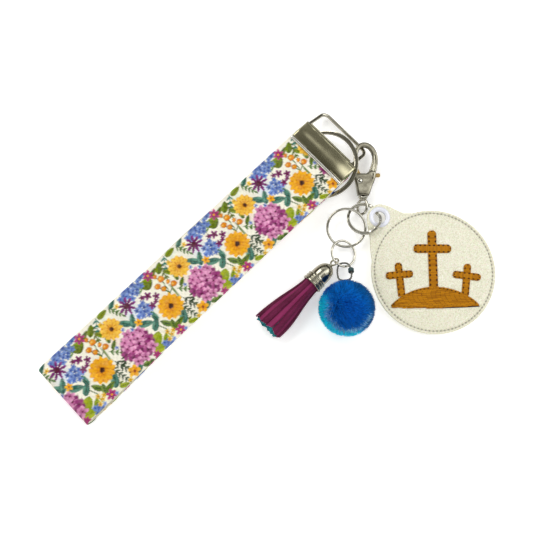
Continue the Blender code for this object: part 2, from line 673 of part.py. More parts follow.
# ------------------------------------------------------------------ tassel
d_at = lambda dx, dy: RING_D_C[2] + RING_D_SLOPE[0] * dx + RING_D_SLOPE[1] * dy
eye_z = d_at(TASSEL_X - RING_D_C[0], TASSEL_Y - RING_D_C[1])
CAP_Z = 5.15
along = Matrix.Rotation(math.pi / 2, 4, "Y")            # local Z becomes +X
cap_m = Matrix.Translation(pt(112.2, TASSEL_Y, CAP_Z)) @ along
cap_prof = [(0.0, 12.5), (0.9, 12.35), (2.0, 11.8), (3.1, 10.7), (3.9, 9.1), (4.25, 7.2), (4.3, 5.2), (4.45, 3.9),
            (4.85, 3.6), (4.9, 3.1), (4.55, 2.85), (4.55, 2.55), (4.9, 2.3), (4.9, 1.8), (4.55, 1.55), (4.55, 1.25),
            (4.95, 1.0), (5.0, 0.3), (4.75, 0.0), (4.25, 0.0), (4.2, 4.3), (3.4, 5.4), (0.0, 5.4)]
tassel_cap = turned("tassel_cap", cap_prof, 26, SATIN, cap_m)
eye_tilt = Matrix.Translation(pt(TASSEL_X, TASSEL_Y, eye_z)) @ Matrix.Rotation(math.radians(-50), 4, "X")
bpy.ops.mesh.primitive_torus_add(major_radius=1.95 * MM, minor_radius=0.45 * MM, major_segments=24, minor_segments=8)
t_eye = bpy.context.active_object
t_eye.name = "tassel_eye_ring"
t_eye.matrix_world = eye_tilt
hide_cutter(t_eye)
boolean(tassel_cap, t_eye, "UNION")


def fringe(name, x_in, x_out, r_in, wide, high, zc, mat, coll=None, n=9):
    """Round where the cap grips it, spread and flattened at the free end."""
    pts = [pt(x_in + (x_out - x_in) * i / (n - 1), TASSEL_Y, 0.0) for i in range(n)]
    ob = as_mesh(wire_curve(name, pts, 1.0 * MM, mat, res=5, coll=coll))
    x_a, x_b = pt(x_in, 0, 0).x, pt(x_out, 0, 0).x
    y0 = pt(0, TASSEL_Y, 0).y
    for v in ob.data.vertices:
        t = (v.co.x - x_a) / (x_b - x_a)
        s = smooth((t - 0.12) / 0.8)
        ry = r_in + (wide - r_in) * s
        rz = r_in + (high - r_in) * s
        z0 = CAP_Z + (zc - CAP_Z) * s
        v.co.y = y0 + (v.co.y - y0) * ry
        v.co.z = z0 * MM + v.co.z * rz
    return ob


outer = fringe("tassel_fringe", 116.2, 84.6, 3.85, 7.6, 4.3, 4.55, PLUM)
room = fringe("fringe_room", 118.0, 82.0, 2.45, 6.2, 3.0, 4.5, PLUM, coll=CUTTERS)
hide_cutter(room)
boolean(outer, room, "DIFFERENCE")
inner = fringe("tassel_fringe_inner", 116.2, 83.8, 2.1, 5.8, 2.6, 4.5, TEAL)

# ------------------------------------------------------------------ pompom
bpy.ops.mesh.primitive_uv_sphere_add(segments=28, ring_count=16, radius=POM_R * MM)
pom = bpy.context.active_object
pom.name = "pompom"
pom.matrix_world = Matrix.Translation(pt(*POM_C))
put(pom, PARTS, FUR)
pom.data.shade_smooth()

hx, hy = RING_D_C[0] - 0.69 * RING_D_R, RING_D_C[1] - 0.724 * RING_D_R
hang = Vector((hx, hy, d_at(hx - RING_D_C[0], hy - RING_D_C[1]) + 0.4))
e1 = Vector((-0.69, -0.724, 0.52)).normalized()
e2 = Vector((0.72, -0.69, 0.40)).normalized()
cord_ctrl = [(-1.9, 0.0), (-1.5, 1.7), (0.0, 2.7), (3.0, 3.2), (6.2, 3.0), (7.5, 1.9), (7.9, 0.0),
             (7.5, -1.9), (6.2, -3.0), (3.0, -3.2), (0.0, -2.7), (-1.5, -1.7)]
cord_pts = []
for f, w in spline(cord_ctrl, 3, cyclic=True):
    p = hang + e1 * f + e2 * w
    cord_pts.append(pt(*p))
wire_curve("pompom_cord", cord_pts, 0.45 * MM, CORD, cyclic=True, res=1)
bead_c = hang + e1 * 2.6 + e2 * 3.14
bead_dir = e1.to_track_quat("Z", "Y").to_matrix().to_4x4()
bead_m = Matrix.Translation(pt(*bead_c)) @ bead_dir
turned("cord_crimp", [(0.78, 1.0), (1.15, 1.0), (1.35, 0.75), (1.35, -0.75), (1.15, -1.0), (0.78, -1.0)], 16, CORD, bead_m)

# ------------------------------------------------------------------ placement helpers
# moving pieces keep their origins on their joint axes
def set_origin(name, p):
    ob = bpy.data.objects[name]
    if ob.modifiers:
        return
    m = Matrix.Translation(p)
    ob.data.transform(m.inverted() @ ob.matrix_world)
    ob.matrix_world = m


set_origin("clasp_gate", lift(0.0) @ Vector((PIVOT[0] * MM, PIVOT[1] * MM, 0)))
set_origin("pompom", pt(*hang))
set_origin("tassel_fringe_inner", pt(TASSEL_X, TASSEL_Y, eye_z))
set_origin("fob_bail", pt(CLAMP_X1, 0.75, CLAMP_Z))

# the lowest point of the set rests at height zero
for ob in list(PARTS.objects) + list(CUTTERS.objects):
    ob.location.z -= TABLE_DROP * MM
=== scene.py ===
import math
import random

import bpy
import bmesh
import numpy as np
from mathutils import Vector, Matrix


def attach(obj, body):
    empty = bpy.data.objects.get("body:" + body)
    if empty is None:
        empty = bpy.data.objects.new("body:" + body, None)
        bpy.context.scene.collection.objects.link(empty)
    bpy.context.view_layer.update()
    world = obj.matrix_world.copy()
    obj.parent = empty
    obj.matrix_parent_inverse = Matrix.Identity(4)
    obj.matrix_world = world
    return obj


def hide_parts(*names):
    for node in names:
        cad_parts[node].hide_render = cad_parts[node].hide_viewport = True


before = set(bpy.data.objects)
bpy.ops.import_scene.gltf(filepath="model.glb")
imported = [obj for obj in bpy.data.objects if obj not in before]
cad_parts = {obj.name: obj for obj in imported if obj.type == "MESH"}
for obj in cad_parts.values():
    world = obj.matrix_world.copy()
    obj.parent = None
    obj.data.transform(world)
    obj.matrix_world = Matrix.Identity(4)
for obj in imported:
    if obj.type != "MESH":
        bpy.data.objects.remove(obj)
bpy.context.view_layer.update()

random.seed(11)

# ------------------------------------------------------------------ layout
MM = 0.001
SHIFT_X, SHIFT_Y, DROP = 92.23, -41.55, 0.10


def W(x, y, z):
    return Vector(((x - SHIFT_X) * MM, (y - SHIFT_Y) * MM, (z - DROP) * MM))


def smooth(t):
    t = max(0.0, min(1.0, t))
    return t * t * (3.0 - 2.0 * t)


def nsmooth(t):
    t = np.clip(t, 0.0, 1.0)
    return t * t * (3.0 - 2.0 * t)


# ------------------------------------------------------------------ camera, floor, light
TAU, DIST, FOCAL = math.radians(11.0), 324.0, 713.0
TH = math.radians(43.938)
ORG = (-88.084, -58.832)


def turn(v):
    """Table direction (x right, y up in the view) to the row frame."""
    c, s = math.cos(TH), math.sin(TH)
    return Vector((c * v[0] + s * v[1], -s * v[0] + c * v[1], v[2]))


cam_data = bpy.data.cameras.new("view")
cam = bpy.data.objects.new("view", cam_data)
bpy.context.scene.collection.objects.link(cam)
cam_data.sensor_width = 36.0
cam_data.lens = 36.0 * FOCAL / 533.0
cam_data.clip_start = 0.01
cam_data.clip_end = 20.0
right, up, back = turn((1, 0, 0)), turn((0, math.cos(TAU), math.sin(TAU))), turn((0, -math.sin(TAU), math.cos(TAU)))
spot = turn((0.0 - ORG[0], -DIST * math.sin(TAU) - ORG[1], DIST * math.cos(TAU)))
cm = Matrix((right, up, back)).transposed().to_4x4()
cm.translation = W(*spot)
cam.matrix_world = cm
bpy.context.scene.camera = cam

scene = bpy.context.scene
scene.view_settings.view_transform = "Standard"
scene.view_settings.look = "None"
scene.view_settings.exposure = 0.0
scene.view_settings.gamma = 1.0


class Nodes:
    """Small builder for a material's or world's node tree."""

    def __init__(self, tree):
        self.t = tree
        self.t.nodes.clear()

    def add(self, kind, props=None, **ins):
        n = self.t.nodes.new(kind)
        for k, v in (props or {}).items():
            setattr(n, k, v)
        for k, v in ins.items():
            self.put(n, k.replace("_", " "), v)
        return n

    def put(self, n, key, v):
        sock = n.inputs[int(key[1:])] if key[0] == "#" else n.inputs[key]
        if isinstance(v, bpy.types.NodeSocket):
            self.t.links.new(v, sock)
        elif isinstance(v, bpy.types.Node):
            self.t.links.new(v.outputs[0], sock)
        else:
            sock.default_value = v
        return n

    def math(self, op, a, b=None, c=None, clamp=False):
        n = self.t.nodes.new("ShaderNodeMath")
        n.operation = op
        n.use_clamp = clamp
        for i, v in enumerate((a, b, c)):
            if v is not None:
                self.put(n, "#%d" % i, v)
        return n.outputs[0]

    def mix(self, fac, a, b, blend="MIX"):
        n = self.t.nodes.new("ShaderNodeMix")
        n.data_type = "RGBA"
        n.blend_type = blend
        n.clamp_factor = True
        for i, v in ((0, fac), (6, a), (7, b)):
            if isinstance(v, tuple) and len(v) == 3:
                v = (*v, 1.0)
            self.put(n, "#%d" % i, v)
        return n.outputs[2]

    def ramp(self, fac, stops, interp="LINEAR"):
        n = self.t.nodes.new("ShaderNodeValToRGB")
        n.color_ramp.interpolation = interp
        els = n.color_ramp.elements
        while len(els) < len(stops):
            els.new(0.5)
        for e, (p, c) in zip(els, stops):
            e.position = p
            e.color = (*c, 1.0) if len(c) == 3 else c
        self.put(n, "#0", fac)
        return n.outputs[0]

    def noise(self, vec, scale, detail=3.0, rough=0.55, dist=0.0):
        n = self.t.nodes.new("ShaderNodeTexNoise")
        for k, v in (("Vector", vec), ("Scale", scale), ("Detail", detail), ("Roughness", rough), ("Distortion", dist)):
            self.put(n, k, v)
        return n.outputs[0]

    def mapped(self, vec, scale=(1, 1, 1), rot=(0, 0, 0), loc=(0, 0, 0)):
        n = self.t.nodes.new("ShaderNodeMapping")
        self.put(n, "Vector", vec)
        n.inputs["Scale"].default_value = scale
        n.inputs["Rotation"].default_value = rot
        n.inputs["Location"].default_value = loc
        return n.outputs[0]


def material(name):
    m = bpy.data.materials.new(name)
    m.use_nodes = True
    b = Nodes(m.node_tree)
    out = b.add("ShaderNodeOutputMaterial")
    p = b.add("ShaderNodeBsdfPrincipled")
    m.node_tree.links.new(p.outputs[0], out.inputs["Surface"])
    tc = b.add("ShaderNodeTexCoord").outputs["Object"]
    return m, b, p, tc


def bump(b, p, height, dist, strength=1.0, under=None):
    n = b.add("ShaderNodeBump")
    n.inputs["Strength"].default_value = strength
    n.inputs["Distance"].default_value = dist
    b.put(n, "Height", height)
    if under is not None:
        b.put(n, "Normal", under)
    b.put(p, "Normal", n.outputs["Normal"])
    return n.outputs["Normal"]


# ---- metals
def metal(name, light, dark, rough_lo, rough_hi, tarnish=0.5, scratch=1.0, brush=None, patch=160.0):
    m, b, p, tc = material(name)
    cloud = b.noise(tc, patch, 4.0, 0.6)
    speck = b.noise(tc, 2600.0, 3.0, 0.6)
    f = b.math("MULTIPLY", b.ramp(cloud, [(0.36, (0, 0, 0)), (0.68, (1, 1, 1))]), tarnish)
    f2 = b.math("ADD", f, b.math("MULTIPLY", b.ramp(speck, [(0.52, (0, 0, 0)), (0.75, (1, 1, 1))]), 0.18), clamp=True)
    b.put(p, "Base Color", b.mix(f2, light, dark))
    p.inputs["Metallic"].default_value = 1.0
    streak = b.noise(b.mapped(tc, brush or (6000, 900, 2200)), 1.0, 2.0, 0.5)
    r = b.add("ShaderNodeMapRange")
    b.put(r, "#0", b.math("ADD", b.math("MULTIPLY", cloud, 0.6), b.math("MULTIPLY", streak, 0.4)))
    r.inputs[1].default_value, r.inputs[2].default_value = 0.3, 0.7
    r.inputs[3].default_value, r.inputs[4].default_value = rough_lo, rough_hi
    b.put(p, "Roughness", r.outputs[0])
    bump(b, p, b.math("ADD", streak, b.math("MULTIPLY", speck, 0.6)), 0.000012 * scratch, 0.5)
    return m


NICKEL = metal("worn_nickel", (0.56, 0.54, 0.455), (0.22, 0.20, 0.15), 0.05, 0.13, 0.5)
BRIGHT = metal("bright_nickel", (0.56, 0.545, 0.48), (0.25, 0.235, 0.185), 0.05, 0.13, 0.5)
CASTING = metal("cast_nickel", (0.32, 0.303, 0.237), (0.085, 0.077, 0.053), 0.05, 0.14, 0.7, 0.8, patch=260.0)
SATIN = metal("satin_olive_nickel", (0.43, 0.405, 0.275), (0.27, 0.25, 0.155), 0.12, 0.21, 0.6, 0.5, brush=(5200, 420, 5200), patch=55.0)
# Much lighter copy of the clamp metal for its rolled lip: a painted highlight line.
LIP_HIGHLIGHT_METAL = metal("lip_painted_highlight", (0.86, 0.85, 0.79), (0.58, 0.56, 0.48), 0.12, 0.22, 0.4)
CAPMETAL = metal("tassel_cap_nickel", (0.48, 0.46, 0.375), (0.20, 0.185, 0.13), 0.12, 0.24, 0.6)
BRASS = metal("aged_brass", (0.42, 0.29, 0.11), (0.17, 0.115, 0.04), 0.20, 0.36, 0.6)


def print_material():
    """Printed floral: drawn tint per point, with pigment granulation and a faint weave."""
    m, b, p, tc = material("floral_print")
    ink = b.add("ShaderNodeAttribute", {"attribute_name": "ink"}).outputs["Color"]
    grain = b.noise(tc, 2600.0, 3.0, 0.6)
    wash = b.noise(tc, 520.0, 3.0, 0.6)
    tint = b.mix(b.math("MULTIPLY", b.ramp(wash, [(0.40, (0, 0, 0)), (0.72, (1, 1, 1))]), 0.05), ink, (1.0, 0.99, 0.95), "SCREEN")
    tint = b.mix(b.math("MULTIPLY", b.ramp(grain, [(0.40, (1, 1, 1)), (0.6, (0, 0, 0))]), 0.16), tint, (0.55, 0.5, 0.45), "MULTIPLY")
    b.put(p, "Base Color", tint)
    b.put(p, "Roughness", b.math("ADD", b.math("MULTIPLY", grain, 0.15), 0.44))
    p.inputs["Specular IOR Level"].default_value = 0.12
    uv = b.add("ShaderNodeUVMap").outputs[0]
    wa = b.add("ShaderNodeTexWave", {"bands_direction": "X"})
    b.put(wa, "Vector", uv)
    wa.inputs["Scale"].default_value = 320.0
    wb = b.add("ShaderNodeTexWave", {"bands_direction": "Y"})
    b.put(wb, "Vector", uv)
    wb.inputs["Scale"].default_value = 320.0
    h = b.math("ADD", b.math("MULTIPLY", wa.outputs["Fac"], wb.outputs["Fac"]), b.math("MULTIPLY", wash, 0.8))
    bump(b, p, h, 0.00005, 0.35)
    return m


def web_material():
    m, b, p, tc = material("cream_webbing")
    uv = b.add("ShaderNodeUVMap").outputs[0]
    wa = b.add("ShaderNodeTexWave", {"bands_direction": "DIAGONAL"})
    b.put(wa, "Vector", b.mapped(uv, (1000, 1000, 1), (0, 0, 0)))
    wa.inputs["Scale"].default_value = 0.75
    wb = b.add("ShaderNodeTexWave", {"bands_direction": "DIAGONAL"})
    b.put(wb, "Vector", b.mapped(uv, (-1000, 1000, 1), (0, 0, 0)))
    wb.inputs["Scale"].default_value = 0.75
    weave = b.math("MULTIPLY", wa.outputs["Fac"], wb.outputs["Fac"])
    fibre = b.noise(b.mapped(uv, (900, 5200, 1)), 1.0, 3.0, 0.6)
    dirt = b.noise(tc, 90.0, 3.0, 0.6)
    c = b.mix(weave, (0.62, 0.58, 0.43), (0.86, 0.84, 0.70))
    c = b.mix(b.math("MULTIPLY", b.ramp(fibre, [(0.4, (0, 0, 0)), (0.65, (1, 1, 1))]), 0.3), c, (0.70, 0.66, 0.50))
    c = b.mix(b.math("MULTIPLY", dirt, 0.25), c, (0.72, 0.70, 0.52))
    b.put(p, "Base Color", c)
    b.put(p, "Roughness", b.math("ADD", b.math("MULTIPLY", fibre, 0.2), 0.7))
    p.inputs["Sheen Weight"].default_value = 0.25
    bump(b, p, b.math("ADD", weave, b.math("MULTIPLY", fibre, 0.5)), 0.00016, 0.7)
    return m


def vinyl_material(name, pits):
    """Ivory vinyl packed with fine glitter that flashes cream, pink and pale green."""
    m, b, p, tc = material(name)
    v1 = b.add("ShaderNodeTexVoronoi", {"feature": "F1"})
    b.put(v1, "Vector", tc)
    v1.inputs["Scale"].default_value = 2300.0
    v2 = b.add("ShaderNodeTexVoronoi", {"feature": "F1"})
    b.put(v2, "Vector", b.mapped(tc, (1, 1, 1), (0.4, 0.2, 0.7)))
    v2.inputs["Scale"].default_value = 3900.0
    sep = b.add("ShaderNodeSeparateColor")
    b.put(sep, "#0", v1.outputs["Color"])
    sep2 = b.add("ShaderNodeSeparateColor")
    b.put(sep2, "#0", v2.outputs["Color"])
    cloud = b.noise(tc, 120.0, 3.0, 0.6)
    base = b.mix(cloud, (0.74, 0.74, 0.50), (0.84, 0.825, 0.62))
    hue = b.ramp(sep.outputs[0], [(0.0, (0.66, 0.62, 0.46)), (0.25, (0.84, 0.81, 0.66)), (0.5, (0.93, 0.89, 0.78)), (0.68, (0.93, 0.76, 0.72)), (0.80, (0.78, 0.86, 0.62)), (0.92, (1.0, 1.0, 0.95))], "CONSTANT")
    c = b.mix(0.50, base, hue)
    c = b.mix(b.math("MULTIPLY", b.ramp(sep2.outputs[1], [(0.80, (0, 0, 0)), (0.86, (1, 1, 1))]), 0.5), c, (1.0, 0.99, 0.93))
    c = b.mix(b.math("MULTIPLY", b.ramp(sep2.outputs[0], [(0.86, (0, 0, 0)), (0.92, (1, 1, 1))]), 0.35), c, (0.55, 0.50, 0.40))
    if pits:
        # Needle pits darkened towards near black: painted shade in the holes.
        pit_dent_and_shade = b.add("ShaderNodeAttribute", {"attribute_name": "pit_dent_and_shade"}).outputs["Fac"]
        c = b.mix(pit_dent_and_shade, c, (0.10, 0.09, 0.07))
    b.put(p, "Base Color", c)
    b.put(p, "Roughness", b.math("ADD", b.math("MULTIPLY", sep.outputs[1], 0.30), 0.20))
    p.inputs["Coat Weight"].default_value = 0.25
    p.inputs["Coat Roughness"].default_value = 0.22
    p.inputs["Specular IOR Level"].default_value = 0.55
    h = b.math("ADD", sep.outputs[2], b.math("MULTIPLY", sep2.outputs[2], 0.6))
    bump(b, p, b.math("ADD", h, b.math("MULTIPLY", b.noise(tc, 900.0, 3.0, 0.6), 1.2)), 0.00007, 0.8)
    return m


def thread_material(name, lo, hi, dark):
    m, b, p, tc = material(name)
    tone = b.add("ShaderNodeAttribute", {"attribute_name": "tone"}).outputs["Fac"]
    twist = b.noise(tc, 5200.0, 2.0, 0.6)
    c = b.mix(tone, lo, hi)
    c = b.mix(b.math("MULTIPLY", b.ramp(twist, [(0.42, (0, 0, 0)), (0.62, (1, 1, 1))]), 0.4), c, dark)
    b.put(p, "Base Color", c)
    b.put(p, "Roughness", b.math("ADD", b.math("MULTIPLY", twist, 0.25), 0.42))
    p.inputs["Specular IOR Level"].default_value = 0.15
    bump(b, p, twist, 0.00003, 0.6)
    return m


def suede_material(name, lo, hi, pale):
    m, b, p, tc = material(name)
    tone = b.add("ShaderNodeAttribute", {"attribute_name": "tone"}).outputs["Fac"]
    nap = b.noise(b.mapped(tc, (900, 2600, 2600)), 1.0, 4.0, 0.65)
    fine = b.noise(tc, 6500.0, 3.0, 0.7)
    c = b.mix(tone, lo, hi)
    c = b.mix(b.math("MULTIPLY", b.ramp(nap, [(0.38, (0, 0, 0)), (0.66, (1, 1, 1))]), 0.22), c, pale)
    c = b.mix(b.math("MULTIPLY", b.ramp(fine, [(0.45, (1, 1, 1)), (0.62, (0, 0, 0))]), 0.3), c, lo)
    b.put(p, "Base Color", c)
    b.put(p, "Roughness", b.math("ADD", b.math("MULTIPLY", fine, 0.2), 0.66))
    p.inputs["Sheen Weight"].default_value = 0.06
    p.inputs["Specular IOR Level"].default_value = 0.15
    bump(b, p, b.math("ADD", nap, fine), 0.00008, 0.6)
    return m


def enamel_material():
    m, b, p, tc = material("lilac_enamel")
    cloud = b.noise(tc, 240.0, 3.0, 0.6)
    fine = b.noise(tc, 3000.0, 3.0, 0.6)
    c = b.mix(cloud, (0.70, 0.72, 0.86), (0.92, 0.93, 0.98))
    b.put(p, "Base Color", c)
    b.put(p, "Roughness", b.math("ADD", b.math("MULTIPLY", fine, 0.12), 0.14))
    p.inputs["Coat Weight"].default_value = 0.6
    p.inputs["Coat Roughness"].default_value = 0.08
    bump(b, p, cloud, 0.00003, 0.4)
    return m


def fur_material():
    m, b, p, tc = material("plush_fur")
    tint = b.add("ShaderNodeAttribute", {"attribute_name": "fur"}).outputs["Color"]
    fine = b.noise(tc, 4200.0, 2.0, 0.6)
    clump = b.noise(tc, 330.0, 3.0, 0.6)
    c = b.mix(b.math("MULTIPLY", b.ramp(clump, [(0.40, (1, 1, 1)), (0.60, (0, 0, 0))]), 0.10), tint, (0.0, 0.05, 0.30), "MIX")
    c = b.mix(b.math("MULTIPLY", fine, 0.05), c, (0.02, 0.34, 0.80))
    b.put(p, "Base Color", c)
    b.put(p, "Roughness", b.math("ADD", b.math("MULTIPLY", fine, 0.2), 0.42))
    p.inputs["Specular IOR Level"].default_value = 0.10
    return m


def cord_material(name, a, c2):
    m, b, p, tc = material(name)
    w = b.add("ShaderNodeTexWave", {"bands_direction": "DIAGONAL"})
    b.put(w, "Vector", tc)
    w.inputs["Scale"].default_value = 900.0
    w.inputs["Distortion"].default_value = 2.0
    n = b.noise(tc, 3800.0, 3.0, 0.6)
    b.put(p, "Base Color", b.mix(b.math("MULTIPLY", b.math("ADD", w.outputs["Fac"], n), 0.5), a, c2))
    b.put(p, "Roughness", b.math("ADD", b.math("MULTIPLY", n, 0.3), 0.35))
    bump(b, p, w.outputs["Fac"], 0.00008, 0.7)
    return m


PRINT, WEB = print_material(), web_material()
VINYL, VINYL_BACK = vinyl_material("glitter_vinyl_front", True), vinyl_material("glitter_vinyl_back", False)
THREAD = thread_material("ochre_thread", (0.37, 0.135, 0.001), (0.64, 0.27, 0.003), (0.26, 0.085, 0.001))
SEAM = thread_material("edge_thread", (0.66, 0.63, 0.50), (0.82, 0.79, 0.66), (0.42, 0.40, 0.33))
# Painted shade: near-black thread colour for the needle-hole ovals and the sheet under the mound's stitches.
STITCH_SHADE = thread_material("painted_stitch_shadow", (0.050, 0.014, 0.001), (0.080, 0.024, 0.001), (0.02, 0.006, 0.001))
PLUM = suede_material("plum_suede", (0.060, 0.002, 0.018), (0.31, 0.030, 0.125), (0.36, 0.055, 0.17))
TEAL = suede_material("teal_suede", (0.01, 0.16, 0.20), (0.03, 0.38, 0.42), (0.10, 0.50, 0.52))
CUT = suede_material("cut_suede", (0.40, 0.16, 0.30), (0.72, 0.45, 0.62), (0.85, 0.70, 0.80))
ENAMEL, FUR = enamel_material(), fur_material()
CORD = cord_material("grey_cord", (0.02, 0.025, 0.025), (0.28, 0.27, 0.24))
CRIMP = cord_material("dark_crimp", (0.006, 0.03, 0.035), (0.05, 0.10, 0.11))


# ------------------------------------------------------------------ mesh helpers
def link(ob):
    scene.collection.objects.link(ob)
    return ob


def mesh_piece(name, verts, faces, mats, smooth_angle=40.0, mat_index=None):
    me = bpy.data.meshes.new(name)
    me.from_pydata([tuple(v) for v in verts], [], [tuple(f) for f in faces])
    me.update()
    for m in (mats if isinstance(mats, (list, tuple)) else [mats]):
        me.materials.append(m)
    if mat_index is not None:
        me.polygons.foreach_set("material_index", np.asarray(mat_index, np.int32))
    me.shade_smooth()
    if smooth_angle:
        me.set_sharp_from_angle(angle=math.radians(smooth_angle))
    return link(bpy.data.objects.new(name, me))


def outward(ob):
    bm = bmesh.new()
    bm.from_mesh(ob.data)
    bmesh.ops.recalc_face_normals(bm, faces=bm.faces)
    bm.to_mesh(ob.data)
    bm.free()
    return ob


def point_color(ob, name, rgb):
    """rgb: (n, 3) linear values per vertex."""
    a = ob.data.color_attributes.new(name=name, type="FLOAT_COLOR", domain="POINT")
    full = np.ones((len(ob.data.vertices), 4), np.float32)
    full[:, :3] = rgb
    a.data.foreach_set("color", full.ravel())


def point_value(ob, name, val):
    a = ob.data.attributes.new(name=name, type="FLOAT", domain="POINT")
    a.data.foreach_set("value", np.asarray(val, np.float32).ravel())


def sweep(points, section, closed, up_hint=None, normals=None):
    """Rings of section points (a, b) along a path: a is sideways, b is along the normal."""
    n = len(points)
    verts, k = [], len(section)
    for i, p in enumerate(points):
        if closed:
            t = points[(i + 1) % n] - points[i - 1]
        else:
            t = points[min(i + 1, n - 1)] - points[max(i - 1, 0)]
        t.normalize()
        nn = normals[i] if normals else up_hint
        side = nn.cross(t).normalized()
        nn2 = t.cross(side).normalized()
        for a, c in section:
            verts.append(p + side * a + nn2 * c)
    faces = []
    rings = n if closed else n - 1
    for i in range(rings):
        j = (i + 1) % n
        for q in range(k):
            r = (q + 1) % k
            faces.append((i * k + q, i * k + r, j * k + r, j * k + q))
    if not closed:
        faces.append(tuple(range(k))[::-1])
        faces.append(tuple((n - 1) * k + q for q in range(k)))
    return verts, faces


def round_section(r, k=12):
    return [(r * math.cos(2 * math.pi * i / k), r * math.sin(2 * math.pi * i / k)) for i in range(k)]


def rect_section(w, t, c, k=3):
    """Rounded rectangle, width w sideways, thickness t along the normal."""
    out = []
    for cx, cy, a0 in ((w / 2 - c, t / 2 - c, 0), (-w / 2 + c, t / 2 - c, 90), (-w / 2 + c, -t / 2 + c, 180), (w / 2 - c, -t / 2 + c, 270)):
        for i in range(k + 1):
            a = math.radians(a0 + 90 * i / k)
            out.append((cx + c * math.cos(a), cy + c * math.sin(a)))
    return out


def spline(ctrl, per, cyclic=False):
    out, n = [], len(ctrl)
    for i in range(n if cyclic else n - 1):
        if cyclic:
            p0, p1, p2, p3 = (ctrl[(i + k - 1) % n] for k in range(4))
        else:
            p0, p1, p2, p3 = ctrl[max(i - 1, 0)], ctrl[i], ctrl[i + 1], ctrl[min(i + 2, n - 1)]
        for j in range(per):
            t = j / per
            out.append(tuple(0.5 * (2 * b + (c - a) * t + (2 * a - 5 * b + 4 * c - d) * t * t + (3 * b - a - 3 * c + d) * t ** 3)
                             for a, b, c, d in zip(p0, p1, p2, p3)))
    if not cyclic:
        out.append(tuple(ctrl[-1]))
    return out


def tilt_matrix(centre, slope):
    n = Vector((-slope[0], -slope[1], 1.0)).normalized()
    x = Vector((1.0, 0.0, slope[0]))
    x = (x - n * x.dot(n)).normalized()
    m = Matrix((x, n.cross(x), n)).transposed().to_4x4()
    m.translation = centre
    return m


def lathe(name, profile, segs, mat, matrix, round_steps=3):
    """Turned solid; profile is (radius, height) mm down the outer side, closed on itself or on the axis."""
    prof = list(profile)
    on_axis = prof[0][0] <= 1e-6
    verts, faces, rows = [], [], []
    for r, z in prof:
        if r <= 1e-6:
            rows.append([len(verts)])
            verts.append(matrix @ Vector((0, 0, z * MM)))
        else:
            rows.append(list(range(len(verts), len(verts) + segs)))
            for i in range(segs):
                a = 2 * math.pi * i / segs
                verts.append(matrix @ Vector((r * MM * math.cos(a), r * MM * math.sin(a), z * MM)))
    pairs = list(zip(rows, rows[1:]))
    if not on_axis:
        pairs.append((rows[-1], rows[0]))
    for ra, rb in pairs:
        for i in range(segs):
            j = (i + 1) % segs
            a, a2 = (ra[0], ra[0]) if len(ra) == 1 else (ra[i], ra[j])
            c, c2 = (rb[0], rb[0]) if len(rb) == 1 else (rb[i], rb[j])
            f = []
            for q in (a, c, c2, a2):
                if q not in f:
                    f.append(q)
            if len(f) > 2:
                faces.append(f)
    return outward(mesh_piece(name, verts, faces, mat, 35.0))


def rounded(profile, cuts):
    """Each corner of an open profile cut by a small arc; cuts is the reach in mm."""
    out = [profile[0]]
    for i in range(1, len(profile) - 1):
        p, a, b = Vector(profile[i]), Vector(profile[i - 1]), Vector(profile[i + 1])
        r = min(cuts, (a - p).length * 0.45, (b - p).length * 0.45)
        p0, p1 = p + (a - p).normalized() * r, p + (b - p).normalized() * r
        for k in range(4):
            t = k / 3
            q = p0 * (1 - t) ** 2 + p * 2 * t * (1 - t) + p1 * t * t
            out.append((q.x, q.y))
    out.append(profile[-1])
    return out


def evaluated(ob, name=None, mats=None):
    """Applies an object's modifiers or curve settings and returns a plain mesh object."""
    bpy.context.view_layer.update()
    dg = bpy.context.evaluated_depsgraph_get()
    me = bpy.data.meshes.new_from_object(ob.evaluated_get(dg))
    me.transform(ob.matrix_world)
    nm = name or ob.name
    bpy.data.objects.remove(ob, do_unlink=True)
    bm = bmesh.new()
    bm.from_mesh(me)
    bmesh.ops.remove_doubles(bm, verts=bm.verts, dist=1e-6)
    bmesh.ops.recalc_face_normals(bm, faces=bm.faces)
    bm.to_mesh(me)
    bm.free()
    me.name = nm
    if mats:
        me.materials.clear()
        me.materials.append(mats)
    return link(bpy.data.objects.new(nm, me))


def plate(name, outline, half, matrix, holes=(), bevel=0.0, res=3):
    cu = bpy.data.curves.new(name, "CURVE")
    cu.dimensions = "2D"
    cu.fill_mode = "BOTH"
    cu.extrude = (half - bevel) * MM
    cu.bevel_depth = bevel * MM
    cu.bevel_resolution = res
    if bevel:
        cu.offset = -bevel * MM
    for loop in (outline, *holes):
        sp = cu.splines.new("POLY")
        sp.points.add(len(loop) - 1)
        for i, (x, y) in enumerate(loop):
            sp.points[i].co = (x * MM, y * MM, 0.0, 1.0)
        sp.use_cyclic_u = True
    ob = link(bpy.data.objects.new(name, cu))
    ob.matrix_world = matrix
    return evaluated(ob)


def cut(ob, other, op="DIFFERENCE"):
    mod = ob.modifiers.new("cut", "BOOLEAN")
    mod.operation = op
    mod.solver = "EXACT"
    mod.object = other
    new = evaluated(ob)
    bpy.data.objects.remove(other, do_unlink=True)
    return new


def box_at(lo, hi, matrix):
    bm = bmesh.new()
    bmesh.ops.create_cube(bm, size=1.0)
    me = bpy.data.meshes.new("cutter")
    bm.to_mesh(me)
    bm.free()
    ctr = Vector([(a + b) / 2 * MM for a, b in zip(lo, hi)])
    me.transform(Matrix.Translation(ctr) @ Matrix.Diagonal((*[(b - a) * MM for a, b in zip(lo, hi)], 1.0)))
    ob = link(bpy.data.objects.new("cutter", me))
    ob.matrix_world = matrix
    return ob


def rod_at(r, h, matrix, segs=48):
    bm = bmesh.new()
    bmesh.ops.create_cone(bm, cap_ends=True, segments=segs, radius1=r * MM, radius2=r * MM, depth=h * MM)
    me = bpy.data.meshes.new("cutter")
    bm.to_mesh(me)
    bm.free()
    ob = link(bpy.data.objects.new("cutter", me))
    ob.matrix_world = matrix
    return ob


